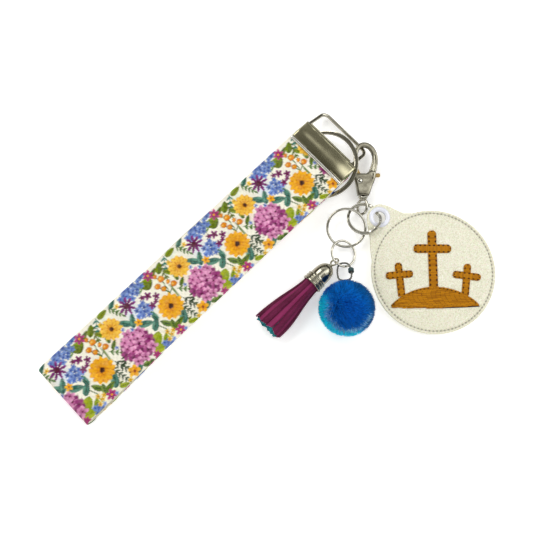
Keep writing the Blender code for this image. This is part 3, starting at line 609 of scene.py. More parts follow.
def cast(ob, voxel, passes, mat, name):
    """Fine remesh with softened edges, like a die casting."""
    r = ob.modifiers.new("voxel", "REMESH")
    r.mode = "VOXEL"
    r.voxel_size = voxel * MM
    s = ob.modifiers.new("soft", "SMOOTH")
    s.factor = 0.5
    s.iterations = passes
    new = evaluated(ob, name, mat)
    new.data.shade_smooth()
    return new


def circle(cx, cy, r, n, a0=0.0, a1=2 * math.pi, closed=True):
    m = n if closed else n - 1
    return [(cx + r * math.cos(a0 + (a1 - a0) * i / m), cy + r * math.sin(a0 + (a1 - a0) * i / m)) for i in range(n)]


def done(ob, body, slot, *nodes):
    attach(ob, body)
    if nodes:
        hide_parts(*nodes)
    return ob


# ------------------------------------------------------------------ strap: shape
STRAP_W, COVER_W, WEB_T, COVER_T, SKIN_GAP = 31.6, 32.0, 1.1, 0.45, 0.15
FOLD_R, LOW_Z, HIGH_Z, SIDE_BOW, CLAMP_Z = 2.975, 1.25, 7.20, 1.9, 8.10
PERIOD = 40.1


def high_leg(x):
    return HIGH_Z + (CLAMP_Z + 0.7 - HIGH_Z) * smooth((x - 85) / 48)


def low_leg(x):
    return LOW_Z + (CLAMP_Z - 0.7 - LOW_Z) * smooth((x - 58) / 78)


def strap_path():
    fold_x = FOLD_R + WEB_T / 2 + SKIN_GAP + COVER_T + 0.02
    pts = [(x, high_leg(x)) for x in [158.9, 155.5, 151.5, 147, 142, 137, 132, 127, 122, 117, 112, 107, 102, 95, 80, 60, 40, 20, 9, fold_x]]
    for i in range(1, 10):
        a = math.pi / 2 + math.pi * i / 10
        pts.append((fold_x + FOLD_R * math.cos(a), (HIGH_Z + LOW_Z) / 2 + FOLD_R * math.sin(a)))
    pts += [(x, low_leg(x)) for x in [fold_x, 9, 20, 34, 46, 56, 62, 68, 74, 80, 86, 92, 98, 104, 110, 116, 122, 128, 134, 140, 147, 151.5, 155.5, 158.9]]
    return pts


PATH = np.array(strap_path())
_seg = np.hypot(*(PATH[1:] - PATH[:-1]).T)
ARC = np.concatenate([[0.0], np.cumsum(_seg)])
FOLD_START, FOLD_END = ARC[19], ARC[29]


def path_at(s):
    """Centre line point, outward normal, and how far it belongs to the lower leg."""
    s = np.clip(s, 0, ARC[-1])
    x, z = np.interp(s, ARC, PATH[:, 0]), np.interp(s, ARC, PATH[:, 1])
    e = 0.8
    sa, sb = np.clip(s - e, 0, ARC[-1]), np.clip(s + e, 0, ARC[-1])
    tx = np.interp(sb, ARC, PATH[:, 0]) - np.interp(sa, ARC, PATH[:, 0])
    tz = np.interp(sb, ARC, PATH[:, 1]) - np.interp(sa, ARC, PATH[:, 1])
    l = np.hypot(tx, tz)
    mid = (HIGH_Z + LOW_Z) / 2
    low = np.where(x < 6, nsmooth((mid + 2.0 - z) / 4.0), (s > (FOLD_START + FOLD_END) / 2) * 1.0)
    bow = SIDE_BOW * low * np.sin(math.pi * nsmooth((x - 4) / 142.0))
    return x, z, tz / l, -tx / l, bow


def band(name, ds, rows_out, rows_in, width, inner, outer, round_t, material_, edge_wave=0.0, seed=3):
    """Closed strap band: a grid along the path, both faces and rounded selvages."""
    total = ARC[-1]
    n = int(total / ds) + 1
    s = np.linspace(0, total, n)
    x, z, nx, nz, bow = path_at(s)
    half = width / 2
    t = (outer - inner)
    r = min(t / 2, round_t)
    vo = np.linspace(-(half - r), half - r, rows_out)
    vi = np.linspace(half - r, -(half - r), rows_in)
    prof = [(v, outer) for v in vo]
    for k in (1, 2, 3):
        a = math.pi * k / 4
        prof.append((half - r + r * math.sin(a), (inner + outer) / 2 + (t / 2) * math.cos(a)))
    prof += [(v, inner) for v in vi]
    for k in (1, 2, 3):
        a = math.pi * k / 4
        prof.append((-(half - r) - r * math.sin(a), (inner + outer) / 2 - (t / 2) * math.cos(a)))
    prof = np.array(prof)
    k = len(prof)
    rng = np.random.RandomState(seed)
    wob = np.convolve(rng.randn(n + 40), np.hanning(25) / 12, "same")[20:20 + n] * edge_wave
    wob2 = np.convolve(rng.randn(n + 40), np.hanning(25) / 12, "same")[20:20 + n] * edge_wave
    V, D = prof[:, 0], prof[:, 1]
    sidew = np.where(V > 0, 1.0, 0.0)[None, :] * wob[:, None] + np.where(V < 0, 1.0, 0.0)[None, :] * wob2[:, None]
    gx = x[:, None] + nx[:, None] * D[None, :]
    gz = z[:, None] + nz[:, None] * D[None, :]
    gy = V[None, :] - np.abs(sidew) * np.sign(V)[None, :] * (np.abs(V)[None, :] / half) ** 6 + bow[:, None]
    co = np.stack([(gx - SHIFT_X) * MM, (gy - SHIFT_Y) * MM, (gz - DROP) * MM], -1).reshape(-1, 3)
    I, J = np.meshgrid(np.arange(n - 1), np.arange(k), indexing="ij")
    J2 = (J + 1) % k
    quads = np.stack([I * k + J, (I + 1) * k + J, (I + 1) * k + J2, I * k + J2], -1).reshape(-1, 4)
    me = bpy.data.meshes.new(name)
    caps = [list(range(k)), [(n - 1) * k + q for q in range(k)][::-1]]
    me.from_pydata(co.tolist(), [], quads.tolist() + caps)
    me.update()
    me.materials.append(material_)
    ob = link(bpy.data.objects.new(name, me))
    outward(ob)
    bm = bmesh.new()
    bm.from_mesh(me)
    bmesh.ops.triangulate(bm, faces=[f for f in bm.faces if len(f.verts) > 4])
    bm.to_mesh(me)
    bm.free()
    me.shade_smooth()
    me.set_sharp_from_angle(angle=math.radians(50))
    uv = me.uv_layers.new(name="UVMap")
    S = np.repeat(s, k)
    VV = np.tile(V, n)
    idx = np.zeros(len(me.loops), np.int32)
    me.loops.foreach_get("vertex_index", idx)
    uv.data.foreach_set("uv", np.stack([S[idx] * MM, VV[idx] * MM], -1).astype(np.float32).ravel())
    return ob, S, VV, np.tile(D, n)


# ------------------------------------------------------------------ strap: print
def srgb(h):
    c = np.array([int(h[i:i + 2], 16) for i in (0, 2, 4)]) / 255.0
    return np.where(c <= 0.04045, c / 12.92, ((c + 0.055) / 1.055) ** 2.4)


class Wash:
    """Draws soft watercolour shapes on points (s, v) of the unfolded band."""

    def __init__(self, s, v, seed=5):
        self.s, self.v = s, v
        self.rgb = np.tile(np.array([0.92, 0.89, 0.76]), (len(s), 1))
        self.rng = np.random.RandomState(seed)
        u = s / PERIOD * 2 * math.pi
        n1 = np.zeros(len(s))
        for k in range(26):
            fu, fv, ph = self.rng.randint(3, 30), self.rng.uniform(-3.2, 3.2), self.rng.uniform(0, 6.28)
            n1 += np.sin(u * fu * 0.5 * 2 + v * fv + ph)
        self.noise = n1 / 26 ** 0.5 / 1.2
        n2 = np.zeros(len(s))
        for k in range(16):
            fu, fv, ph = self.rng.randint(1, 8), self.rng.uniform(-0.9, 0.9), self.rng.uniform(0, 6.28)
            n2 += np.sin(u * fu + v * fv + ph)
        self.slow = n2 / 16 ** 0.5 / 1.2

    def local(self, cx, cy, reach):
        ds = (self.s - cx + PERIOD / 2) % PERIOD - PERIOD / 2
        dv = self.v - cy
        sel = np.nonzero((np.abs(ds) < reach) & (np.abs(dv) < reach))[0]
        return sel, ds[sel], dv[sel]

    def lay(self, sel, cover, rgb):
        c = np.clip(cover, 0, 1)[:, None]
        self.rgb[sel] = self.rgb[sel] * (1 - c) + rgb * c

    def tone(self, sel, a, b, f):
        f = np.clip(f, 0, 1)[:, None]
        return np.asarray(a) * (1 - f) + np.asarray(b) * f

    def blob(self, cx, cy, r, a, b, alpha=1.0, soft=0.35):
        sel, x, y = self.local(cx, cy, r * 1.6)
        d = np.hypot(x, y) * (1 + 0.10 * self.noise[sel])
        self.lay(sel, (r - d) / soft * alpha, self.tone(sel, a, b, 0.5 + 0.5 * self.noise[sel]))

    def petals(self, cx, cy, r, n, a, b, phase=0.0, inner=0.15, fat=0.55, alpha=1.0, dark=None, split=0.0):
        """Flower head of n petals, shaded from the heart outward."""
        sel, x, y = self.local(cx, cy, r * 1.25)
        d, th = np.hypot(x, y), np.arctan2(y, x) + phase
        k = np.cos(th * n)
        rad = r * (fat + (1 - fat) * (0.5 + 0.5 * k) ** 0.6) * (1 + 0.05 * self.noise[sel])
        cov = (rad - d) / 0.30 * alpha
        f = np.clip(d / r, 0, 1) + 0.20 * self.noise[sel] - 0.12 * (1 - k) * 0.5
        col = self.tone(sel, a, b, f)
        if dark is not None:
            gap = np.clip((-k - 0.72) * 4, 0, 1) * np.clip(d / r * 2 - 0.2, 0, 1)
            vein = np.clip(np.sin(th * n * 5 + 0.6 * self.noise[sel]) - 0.5, 0, 1) * split
            col = self.tone(sel, col, np.asarray(dark)[None, :], 0.75 * gap + vein)
        self.lay(sel, cov, col)

    def leaf(self, cx, cy, length, width, ang, a, b, vein=None, alpha=1.0, bend=0.0):
        sel, x, y = self.local(cx, cy, length)
        c, s = math.cos(ang), math.sin(ang)
        u, w = (x * c + y * s) / (length / 2), (-x * s + y * c)
        w = w - bend * (1 - u * u) * width
        prof = (width / 2) * np.sqrt(np.clip(1 - u * u, 0, 1)) * (1 - 0.25 * u)
        cov = (prof - np.abs(w)) / 0.25 * alpha * (np.abs(u) < 1)
        f = 0.5 + 0.5 * w / (width / 2) + 0.35 * self.noise[sel]
        col = self.tone(sel, a, b, f)
        if vein is not None:
            side = np.abs(np.abs(w) - 0.0) < 0.16
            ribs = np.abs(((u * length / 2 + np.abs(w) * 0.9) / 0.9) % 1.0 - 0.5) < 0.12
            col = self.tone(sel, col, np.asarray(vein)[None, :], 0.7 * side + 0.35 * ribs)
        self.lay(sel, cov, col)

    def stroke(self, pts, w, rgb, alpha=1.0):
        for (x0, y0), (x1, y1) in zip(pts, pts[1:]):
            mx, my = (x0 + x1) / 2, (y0 + y1) / 2
            reach = math.hypot(x1 - x0, y1 - y0) / 2 + w * 2 + 0.6
            sel, x, y = self.local(mx, my, reach)
            ax, ay = x0 - mx, y0 - my
            dx, dy = x1 - x0, y1 - y0
            t = np.clip(((x - ax) * dx + (y - ay) * dy) / (dx * dx + dy * dy + 1e-9), 0, 1)
            d = np.hypot(x - ax - t * dx, y - ay - t * dy)
            self.lay(sel, (w / 2 + 0.12 - d) / 0.24 * alpha, np.asarray(rgb)[None, :] * (1 + 0.1 * self.noise[sel])[:, None])

    def fern(self, x0, y0, x1, y1, rgb, n=9, size=1.5):
        """Sprig: a stem with pairs of slim leaves and one at the tip."""
        rgb = np.asarray(rgb)
        self.stroke([(x0, y0), (x1, y1)], 0.34, rgb)
        ang = math.atan2(y1 - y0, x1 - x0)
        m = max(3, int(math.hypot(x1 - x0, y1 - y0) / 1.75))
        for i in range(m):
            t = (i + 0.35) / m
            px, py = x0 + (x1 - x0) * t, y0 + (y1 - y0) * t
            k = size * 1.15 * (1 - 0.35 * t)
            for sgn in (1, -1):
                a2 = ang + sgn * 0.72
                self.leaf(px + math.cos(a2) * k / 2, py + math.sin(a2) * k / 2, k, 1.02, a2, rgb, rgb * 2.2)
        self.leaf(x1 + math.cos(ang) * size * 0.5, y1 + math.sin(ang) * size * 0.5, size * 1.1, 1.0, ang, rgb, rgb * 2.2)


def draw_print(s, v):
    p = Wash(s, v)
    L = np.array
    BLUE, BLUE2, NAVY = L([0.09, 0.17, 0.50]), L([0.36, 0.46, 0.78]), L([0.02, 0.04, 0.24])
    ORANGE, AMBER, RUST = L([0.80, 0.30, 0.001]), L([0.92, 0.55, 0.02]), L([0.42, 0.10, 0.001])
    PLUM_, ROSE, PALEP = L([0.17, 0.008, 0.10]), L([0.44, 0.08, 0.26]), L([0.74, 0.36, 0.55])
    TEAL_, TEAL2 = L([0.012, 0.11, 0.085]), L([0.13, 0.33, 0.24])
    LIME, LIME2 = L([0.20, 0.30, 0.002]), L([0.46, 0.52, 0.015])
    OLIVE, OLIVE2 = L([0.06, 0.085, 0.002]), L([0.22, 0.25, 0.008])
    DARK = L([0.018, 0.034, 0.014])
    GREEN, GREEN2 = L([0.045, 0.115, 0.012]), L([0.22, 0.32, 0.05])
    MAG, MAG2, VIO = L([0.26, 0.006, 0.10]), L([0.56, 0.07, 0.26]), L([0.10, 0.005, 0.03])
    for cx, cy, r, c in ((7, 6, 5.5, L([0.70, 0.78, 0.90])), (20, -11, 5, L([0.86, 0.86, 0.52])), (33, 2, 5, L([0.93, 0.76, 0.66])), (26, 9, 5, L([0.80, 0.84, 0.60])), (12, -13, 5, L([0.90, 0.82, 0.60])), (36, 13, 4, L([0.76, 0.84, 0.70])), (14, 0, 4, L([0.80, 0.84, 0.74]))):
        p.blob(cx, cy, r, c, c * 0.97, 0.5, 2.5)
    # sprigs and stems
    p.fern(27.2, -4.6, 29.6, -13.0, DARK, 10, 2.6)
    p.fern(24.2, -5.4, 26.0, -14.2, DARK * 1.5, 9, 2.3)
    p.fern(32.4, -5.6, 28.0, -8.9, DARK, 6, 2.1)
    p.fern(29.9, 14.4, 27.6, 6.6, OLIVE, 8, 2.4)
    p.fern(0.2, 15.2, 2.6, 8.6, GREEN, 7, 2.3)
    p.fern(28.2, 0.2, 32.4, -4.4, GREEN, 7, 2.0)
    p.fern(33.4, 15.2, 29.8, 9.6, TEAL_, 7, 2.2)
    p.fern(14.0, 9.6, 18.4, 15.4, GREEN, 7, 2.0)
    p.fern(1.6, -2.0, 4.4, -7.0, TEAL_, 6, 1.9)
    p.fern(20.4, -9.0, 24.2, -15.6, OLIVE, 7, 2.0)
    for a, b in (((22.3, 13.0), (25.6, 8.3)), ((24.4, 1.0), (23.6, 4.3)), ((24.4, 1.0), (25.6, 8.3)), ((24.4, 1.0), (28.4, 3.0)), ((24.4, 1.0), (22.1, 6.8)), ((20.4, -7.0), (24.4, 1.0)),
                 ((26.5, 4.0), (26.5, -4.0)), ((10.4, -4.6), (12.6, -9.8)), ((12.3, -14.9), (12.0, -10.7)), ((8.9, -15.2), (11.0, -12.0)), ((16.8, -14.0), (15.4, -9.8)), ((30.5, -13.6), (29.2, -9.8))):
        p.stroke([a, b], 0.42, GREEN)
    p.leaf(26.4, 0.2, 6.6, 1.0, 1.45, GREEN2, GREEN)
    p.leaf(25.4, -2.4, 4.6, 1.0, 2.2, GREEN2, GREEN)
    # leaves
    p.leaf(6.9, -9.8, 6.0, 5.0, 0.5, LIME, LIME2, OLIVE2)
    p.leaf(5.0, -13.8, 5.4, 4.4, -0.5, LIME2, LIME, OLIVE2)
    p.leaf(9.9, -12.6, 4.4, 3.0, 0.9, LIME2, LIME, OLIVE)
    p.leaf(19.7, 11.0, 5.8, 5.2, 0.2, OLIVE, LIME, OLIVE2)
    p.leaf(0.8, 4.8, 6.8, 3.1, 2.3, TEAL2, TEAL_, DARK)
    p.leaf(4.2, 3.2, 6.6, 3.0, 1.0, TEAL_, TEAL2, DARK)
    p.leaf(7.6, -1.8, 6.8, 3.3, -0.5, TEAL2, TEAL_, DARK)
    p.leaf(10.6, -4.8, 6.4, 3.2, 0.7, TEAL_, TEAL2, DARK)
    p.leaf(12.6, -1.8, 5.4, 2.7, 1.5, TEAL2, TEAL_, DARK)
    p.leaf(21.9, -10.6, 6.6, 3.8, 0.9, TEAL_, TEAL2, DARK)
    p.leaf(14.1, -7.6, 5.4, 2.8, 2.1, GREEN2, GREEN, DARK)
    p.leaf(15.9, -10.4, 5.6, 2.6, 1.2, GREEN, GREEN2, DARK)
    p.leaf(18.6, -11.2, 5.6, 2.7, 0.2, LIME, GREEN, DARK)
    p.leaf(28.2, 12.6, 5.6, 3.1, 0.8, OLIVE, LIME, OLIVE)
    p.leaf(30.2, 8.4, 5.4, 2.7, 2.2, OLIVE2, LIME, OLIVE)
    p.leaf(31.2, 5.0, 4.6, 2.3, 1.4, GREEN, GREEN2, DARK)
    p.leaf(36.5, 14.6, 5.6, 2.8, 0.1, OLIVE2, LIME, OLIVE)
    p.leaf(33.3, -13.8, 5.6, 2.9, 0.4, TEAL_, TEAL2, DARK)
    p.leaf(37.5, -15.2, 5.6, 2.6, -0.2, GREEN, GREEN2, DARK)
    p.leaf(1.0, -9.2, 4.8, 2.4, 1.1, GREEN2, GREEN, DARK)
    p.leaf(23.6, -15.0, 4.8, 2.4, -0.4, LIME, LIME2, OLIVE)
    p.leaf(2.6, 15.2, 5.0, 2.4, 0.5, TEAL_, TEAL2, DARK)
    p.leaf(16.2, 12.6, 4.8, 2.3, 1.9, GREEN, GREEN2, DARK)
    p.leaf(25.2, 13.0, 4.4, 2.2, 0.4, OLIVE2, GREEN, DARK)
    p.leaf(31.6, 1.2, 4.4, 2.1, 0.6, LIME, GREEN, DARK)
    # hydrangea head: large four-petal florets, light over dark
    rs = np.random.RandomState(4)
    p.blob(38.85, -6.3, 7.9, PLUM_ * 1.1, ROSE * 0.7, 1.0, 1.0)
    for k in range(21):
        a, r = k * 2.39996, 7.0 * math.sqrt((k + 0.5) / 21)
        cx, cy = 38.85 + r * math.cos(a), -6.3 + r * math.sin(a)
        deep_one = rs.rand() > 0.74
        ca = PLUM_ * (0.9 + 0.8 * rs.rand()) if deep_one else ROSE * (0.85 + 0.5 * rs.rand())
        edge = ROSE * (0.8 + 0.3 * rs.rand()) if deep_one else PALEP * (0.96 + 0.36 * rs.rand())
        p.petals(cx, cy, 2.35 + 0.35 * rs.rand(), 4, ca, edge, rs.rand() * 6, fat=0.44, dark=PLUM_ * 0.6)
        p.blob(cx, cy, 0.55, VIO * 0.7, VIO * 1.3, 1.0, 0.25)
    # blue cluster strips
    for cx, cy, n_, rr in ((12.4, 13.2, 18, 4.9), (10.8, 3.4, 12, 3.7), (8.9, -15.4, 6, 2.2), (20.2, 15.6, 4, 1.6)):
        for k in range(n_):
            a, r = k * 2.39996 + cx, rr * math.sqrt((k + 0.4) / n_)
            px, py = cx + r * math.cos(a) * (1.25 if rr > 4 else 1.0), cy + r * math.sin(a) * (0.62 if rr > 4 else 1.0)
            p.petals(px, py, 1.45 + 0.3 * rs.rand(), 5, BLUE * (0.55 + 0.6 * rs.rand()), BLUE2 * L([0.72, 0.86, 1.0]) * (0.62 + 0.42 * rs.rand()), rs.rand() * 6, fat=0.58, dark=NAVY)
            p.blob(px, py, 0.42, NAVY, NAVY * 2, 1.0, 0.2)
    # purple star daisy and small dark florets
    p.petals(6.7, 9.8, 4.3, 9, VIO * 0.8, L([0.26, 0.03, 0.26]), 0.3, fat=0.34, dark=VIO, split=0.3)
    p.blob(6.7, 9.8, 1.0, VIO * 0.4, VIO, 1.0, 0.3)
    for cx, cy, r in ((16.2, 6.8, 2.1), (19.0, 4.2, 1.9), (15.1, 2.2, 1.9), (17.4, 2.6, 1.4), (13.9, 7.9, 1.5)):
        p.petals(cx, cy, r, 5, VIO, L([0.27, 0.035, 0.22]), cx, fat=0.50, dark=VIO)
        p.blob(cx, cy, 0.36, VIO * 0.5, VIO, 1.0, 0.2)
    # big orange daisies: broad petals, small dark heart
    for cx, cy, R_, n_, a_, b_, ph in ((20.6, -3.5, 6.1, 13, L([0.72, 0.23, 0.001]), L([0.90, 0.47, 0.012]), 0.0), (35.1, 7.0, 5.2, 12, L([0.80, 0.32, 0.006]), L([0.93, 0.60, 0.07]), 0.5)):
        p.petals(cx, cy, R_, n_, a_, b_, ph, fat=0.84, dark=RUST * 1.5, split=0.22)
        p.petals(cx, cy, R_ * 0.70, n_, a_ * 0.94, b_ * 0.97, ph + 0.24, fat=0.80, dark=RUST * 1.4, split=0.22)
        p.blob(cx + 0.2, cy - 0.1, R_ * 0.27, RUST * 1.2, ORANGE * 0.8, 0.75, 0.7)
        p.blob(cx + 0.2, cy - 0.1, R_ * 0.22, L([0.030, 0.005, 0.002]), L([0.11, 0.03, 0.004]), 1.0, 0.35)
    # small orange, magenta, yellow and blue flowers
    p.petals(30.55, -13.4, 3.0, 5, L([0.78, 0.26, 0.001]), L([0.93, 0.55, 0.03]), 0.4, fat=0.62, dark=RUST)
    p.blob(30.55, -13.4, 0.7, VIO, RUST, 1.0, 0.2)
    p.petals(5.7, 0.9, 2.0, 5, ORANGE, AMBER, 0.1, fat=0.6, dark=RUST)
    p.blob(5.7, 0.9, 0.45, RUST, VIO, 1.0, 0.2)
    p.petals(22.4, 13.4, 2.7, 6, MAG, MAG2, 0.2, fat=0.58, dark=VIO)
    p.blob(22.4, 13.4, 0.6, AMBER, ORANGE, 1.0, 0.2)
    p.petals(16.8, -14.2, 2.7, 6, MAG, MAG2, 0.9, fat=0.58, dark=VIO)
    p.blob(16.8, -14.2, 0.6, AMBER, ORANGE, 1.0, 0.2)
    p.petals(2.2, -15.0, 2.0, 6, MAG, MAG2, 0.5, fat=0.58, dark=VIO)
    for cx, cy in ((12.0, -10.7), (12.8, -12.9), (10.7, -13.9), (14.2, -12.0), (26.9, -15.2), (3.4, 12.8), (33.0, 11.6)):
        p.petals(cx, cy, 1.35, 5, L([0.72, 0.38, 0.004]), L([0.90, 0.66, 0.08]), cx, fat=0.5, dark=L([0.4, 0.16, 0.001]))
        p.blob(cx, cy, 0.30, RUST, VIO, 1.0, 0.2)
    for cx, cy, r in ((25.6, 8.35, 1.55), (23.6, 4.3, 1.25), (22.15, 6.8, 1.35), (28.4, 3.0, 1.45), (27.1, 5.4, 1.0), (24.3, 10.9, 1.0)):
        p.blob(cx, cy, r + 0.12, RUST, RUST * 0.8, 1.0, 0.3)
        p.blob(cx, cy, r, L([0.84, 0.32, 0.001]), L([0.66, 0.17, 0.001]), 1.0, 0.5)
        p.blob(cx - 0.35, cy + 0.35, r * 0.38, L([0.95, 0.66, 0.16]), L([0.95, 0.62, 0.14]), 0.85, 0.4)
    for cx, cy in ((12.3, -15.1), (18.9, -15.2), (1.6, 0.4), (31.6, -0.8), (38.6, 3.2)):
        p.petals(cx, cy, 1.15, 5, BLUE, BLUE2, cx, fat=0.5, dark=NAVY)
    p.rgb *= (1.0 + 0.05 * p.slow + 0.06 * p.noise)[:, None]
    return np.clip(p.rgb, 0, 1)


web, *_ = band("webbing_band", 0.8, 46, 46, STRAP_W, -WEB_T / 2, WEB_T / 2, 0.5, WEB, 0.10, 8)
done(web, "strap", "webbing", "strap_webbing")
print_ob, S, V, D = band("printed_band", 0.46, 92, 22, COVER_W, WEB_T / 2 + SKIN_GAP, WEB_T / 2 + SKIN_GAP + COVER_T, 0.22, PRINT, 0.06, 4)
u_top = np.interp(S, ARC, PATH[:, 0])
along = np.where(S <= (FOLD_START + FOLD_END) / 2, u_top, -(S - (FOLD_START + FOLD_END) / 2) + 0.0)
point_color(print_ob, "ink", draw_print(along, V))
done(print_ob, "strap", "print", "strap_print_cover")


# ------------------------------------------------------------------ clamp
from mathutils.geometry import delaunay_2d_cdt


def inside(X, Y, px, py):
    """Even-odd test of many points against one outline."""
    n = len(X)
    res = np.zeros(len(px), bool)
    x2, y2 = np.roll(X, -1), np.roll(Y, -1)
    for i in range(n):
        c = (Y[i] > py) != (y2[i] > py)
        if not c.any():
            continue
        t = (py - Y[i]) / (y2[i] - Y[i] + 1e-12)
        res ^= c & (px < X[i] + t * (x2[i] - X[i]))
    return res


def upright_at(y_mm):
    return Matrix.Translation(Vector((0, (y_mm - SHIFT_Y) * MM, -DROP * MM))) @ Matrix.Rotation(math.pi / 2, 4, "X")


def clamp_ob():
    """Folded metal clamp: crowned jaws, rolled double lip, round barrel, soft ends."""
    h, s_, x0, xa, xe = 2.75, 2.05, 152.4, 162.0, 159.6
    lip = [(x0 + 2.3, h - 0.02), (x0 + 1.95, h - 0.13), (x0 + 1.7, h - 0.16), (x0 + 1.5, h - 0.02), (x0 + 1.25, h + 0.20), (x0 + 0.9, h + 0.33), (x0 + 0.5, h + 0.36), (x0 + 0.15, h + 0.22), (x0 - 0.05, h - 0.05), (x0 - 0.08, h - 0.35), (x0 + 0.1, s_ + 0.02)]
    flat = [(x, h + 0.24 * math.sin(math.pi * (x - x0 - 2.3) / (xa - x0 - 2.3))) for x in np.linspace(x0 + 3.0, xa - 0.5, 10)]
    barrel = [(xa + h * math.sin(a), h * math.cos(a)) for a in [math.pi * i / 36 for i in range(37)]]
    outer = lip[::-1] + flat + barrel + [(x, -z) for x, z in flat[::-1]] + [(x, -z) for x, z in lip]
    slot = [(x0 + 0.1, s_), (x0 + 3.5, s_), (xe - 0.5, s_), (xe, s_ - 0.5)]
    loop = outer + [(x, -z) for x, z in slot] + slot[::-1]
    clean = []
    for q in loop:
        if not clean or math.hypot(q[0] - clean[-1][0], q[1] - clean[-1][1]) > 0.01:
            clean.append(q)
    loop = clean
    hole = circle(xa, 0.0, 1.25, 32)[::-1]
    ys = [-15.6, -15.57, -15.48, -15.34, -15.12] + list(np.linspace(-14.6, 14.6, 40)) + [15.12, 15.34, 15.48, 15.57, 15.6]
    n, m = len(loop), len(hole)
    cx = (x0 + xa) / 2
    verts, faces = [], []
    for y in ys:
        e = 15.6 - abs(y)
        tuck = 0.30 * (1 - math.sqrt(max(0.0, 1 - (1 - min(e, 0.48) / 0.48) ** 2)))
        bow = -0.52 * (abs(y) / 15.6) ** 2.2 + 0.03 * math.sin(y * 0.55 + 0.6)
        for x, z in loop:
            on = abs(z) > s_ + 0.3 or x > xe + 0.1
            zz = z + (bow * max(0.0, min(1.0, (abs(z) - s_) / 0.6)) * (1 if z > 0 else -1) if x < xa + 0.5 else 0.0)
            if on:
                d = math.hypot(x - xa, zz) if x > xa else abs(zz)
                k = tuck / max(d, 1e-3)
                zz *= 1 - k
                x = x - (x - xa) * k if x > xa else x + (tuck if x < x0 + 0.6 else 0.0)
            verts.append(W(x, y, CLAMP_Z + zz))
        for x, z in hole:
            verts.append(W(x, y, CLAMP_Z + z))
    per = n + m
    for i in range(len(ys) - 1):
        for q in range(n):
            r = (q + 1) % n
            faces.append((i * per + q, i * per + r, (i + 1) * per + r, (i + 1) * per + q))
        for q in range(m):
            r = (q + 1) % m
            faces.append((i * per + n + q, i * per + n + r, (i + 1) * per + n + r, (i + 1) * per + n + q))
    # end caps from the section's own triangulation
    P = loop + hole
    ed = [(i, (i + 1) % n) for i in range(n)] + [(n + i, n + (i + 1) % m) for i in range(m)]
    vc, _, fc, ov, _, _ = delaunay_2d_cdt([Vector(q) for q in P], ed, [], 0, 1e-6, True)
    src = [o[0] for o in ov]
    LX, LY = np.array([q[0] for q in loop]), np.array([q[1] for q in loop])
    for tri in fc:
        c = sum((vc[t] for t in tri), Vector((0, 0))) / 3
        if inside(LX, LY, np.array([c.x]), np.array([c.y]))[0] and math.hypot(c.x - xa, c.y) > 1.24:
            t3 = [src[t] for t in tri]
            faces.append(tuple(t3))
            faces.append(tuple((len(ys) - 1) * per + t for t in t3[::-1]))
    ob = outward(mesh_piece("clamp_shell", verts, faces, SATIN, 38))
    wedge = [(-1.3, -6.0), (6.0, -6.0), (6.0, 5.5), (5.92, 5.44), (-0.506, 0.683), (-1.3, 0.683)]
    for y0, y1 in ((13.55, 20.0), (-20.0, -11.25)):
        M = Matrix.Translation(Vector((0, 0, 0)))
        bmw = bmesh.new()
        a_ = [bmw.verts.new(W(xa + x, y0, CLAMP_Z + z)) for x, z in wedge]
        b_ = [bmw.verts.new(W(xa + x, y1, CLAMP_Z + z)) for x, z in wedge]
        bmw.faces.new(a_)
        bmw.faces.new(b_[::-1])
        for i in range(len(wedge)):
            j = (i + 1) % len(wedge)
            bmw.faces.new((a_[i], b_[i], b_[j], a_[j]))
        bmesh.ops.recalc_face_normals(bmw, faces=bmw.faces)
        me_ = bpy.data.meshes.new("wedge")
        bmw.to_mesh(me_)
        bmw.free()
        ob = cut(ob, link(bpy.data.objects.new("wedge", me_)))
    ob.data.materials.clear()
    ob.data.materials.append(SATIN)
    ob.data.materials.append(LIP_HIGHLIGHT_METAL)
    # The rolled lip takes the lighter metal copy: a painted highlight line on the strap side.
    for poly in ob.data.polygons:
        if poly.center.x / MM + SHIFT_X < x0 + 1.55:
            poly.material_index = 1
    ob.data.shade_smooth()
    ob.data.set_sharp_from_angle(angle=math.radians(38))
    return ob


done(clamp_ob(), "strap", "satin_metal", "fob_clamp")


# ------------------------------------------------------------------ bail
def bail_ob():
    bx, droop, y0, y1, depth = 162.0, math.radians(24.4), -12.6, 14.9, 14.0
    r0, r1 = 1.3, 3.0
    half = [(0.0, 10.6), (0.0, y1 - r0)]
    half += [(r0 - r0 * math.cos(a), y1 - r0 + r0 * math.sin(a)) for a in [math.radians(k) for k in range(10, 91, 10)]]
    half += [(5.0, y1), (depth - r1, y1)]
    half += [(depth - r1 + r1 * math.sin(a), y1 - r1 + r1 * math.cos(a)) for a in [math.radians(k) for k in range(6, 91, 6)]]
    half += [(depth, 6.0)]
    other = [(p, -(y - y1) + y0) for p, y in half][::-1]
    pts = half + other
    pts[-1] = (0.0, -9.1)
    line = [W(bx + p * math.cos(droop), y, CLAMP_Z - p * math.sin(droop)) for p, y in pts]
    n = Vector((math.sin(droop), 0, math.cos(droop)))
    v, f = sweep(line, round_section(0.86 * MM, 24), False, n)
    return outward(mesh_piece("bail_wire", v, f, NICKEL, 40))


done(bail_ob(), "bail", "nickel", "fob_bail")


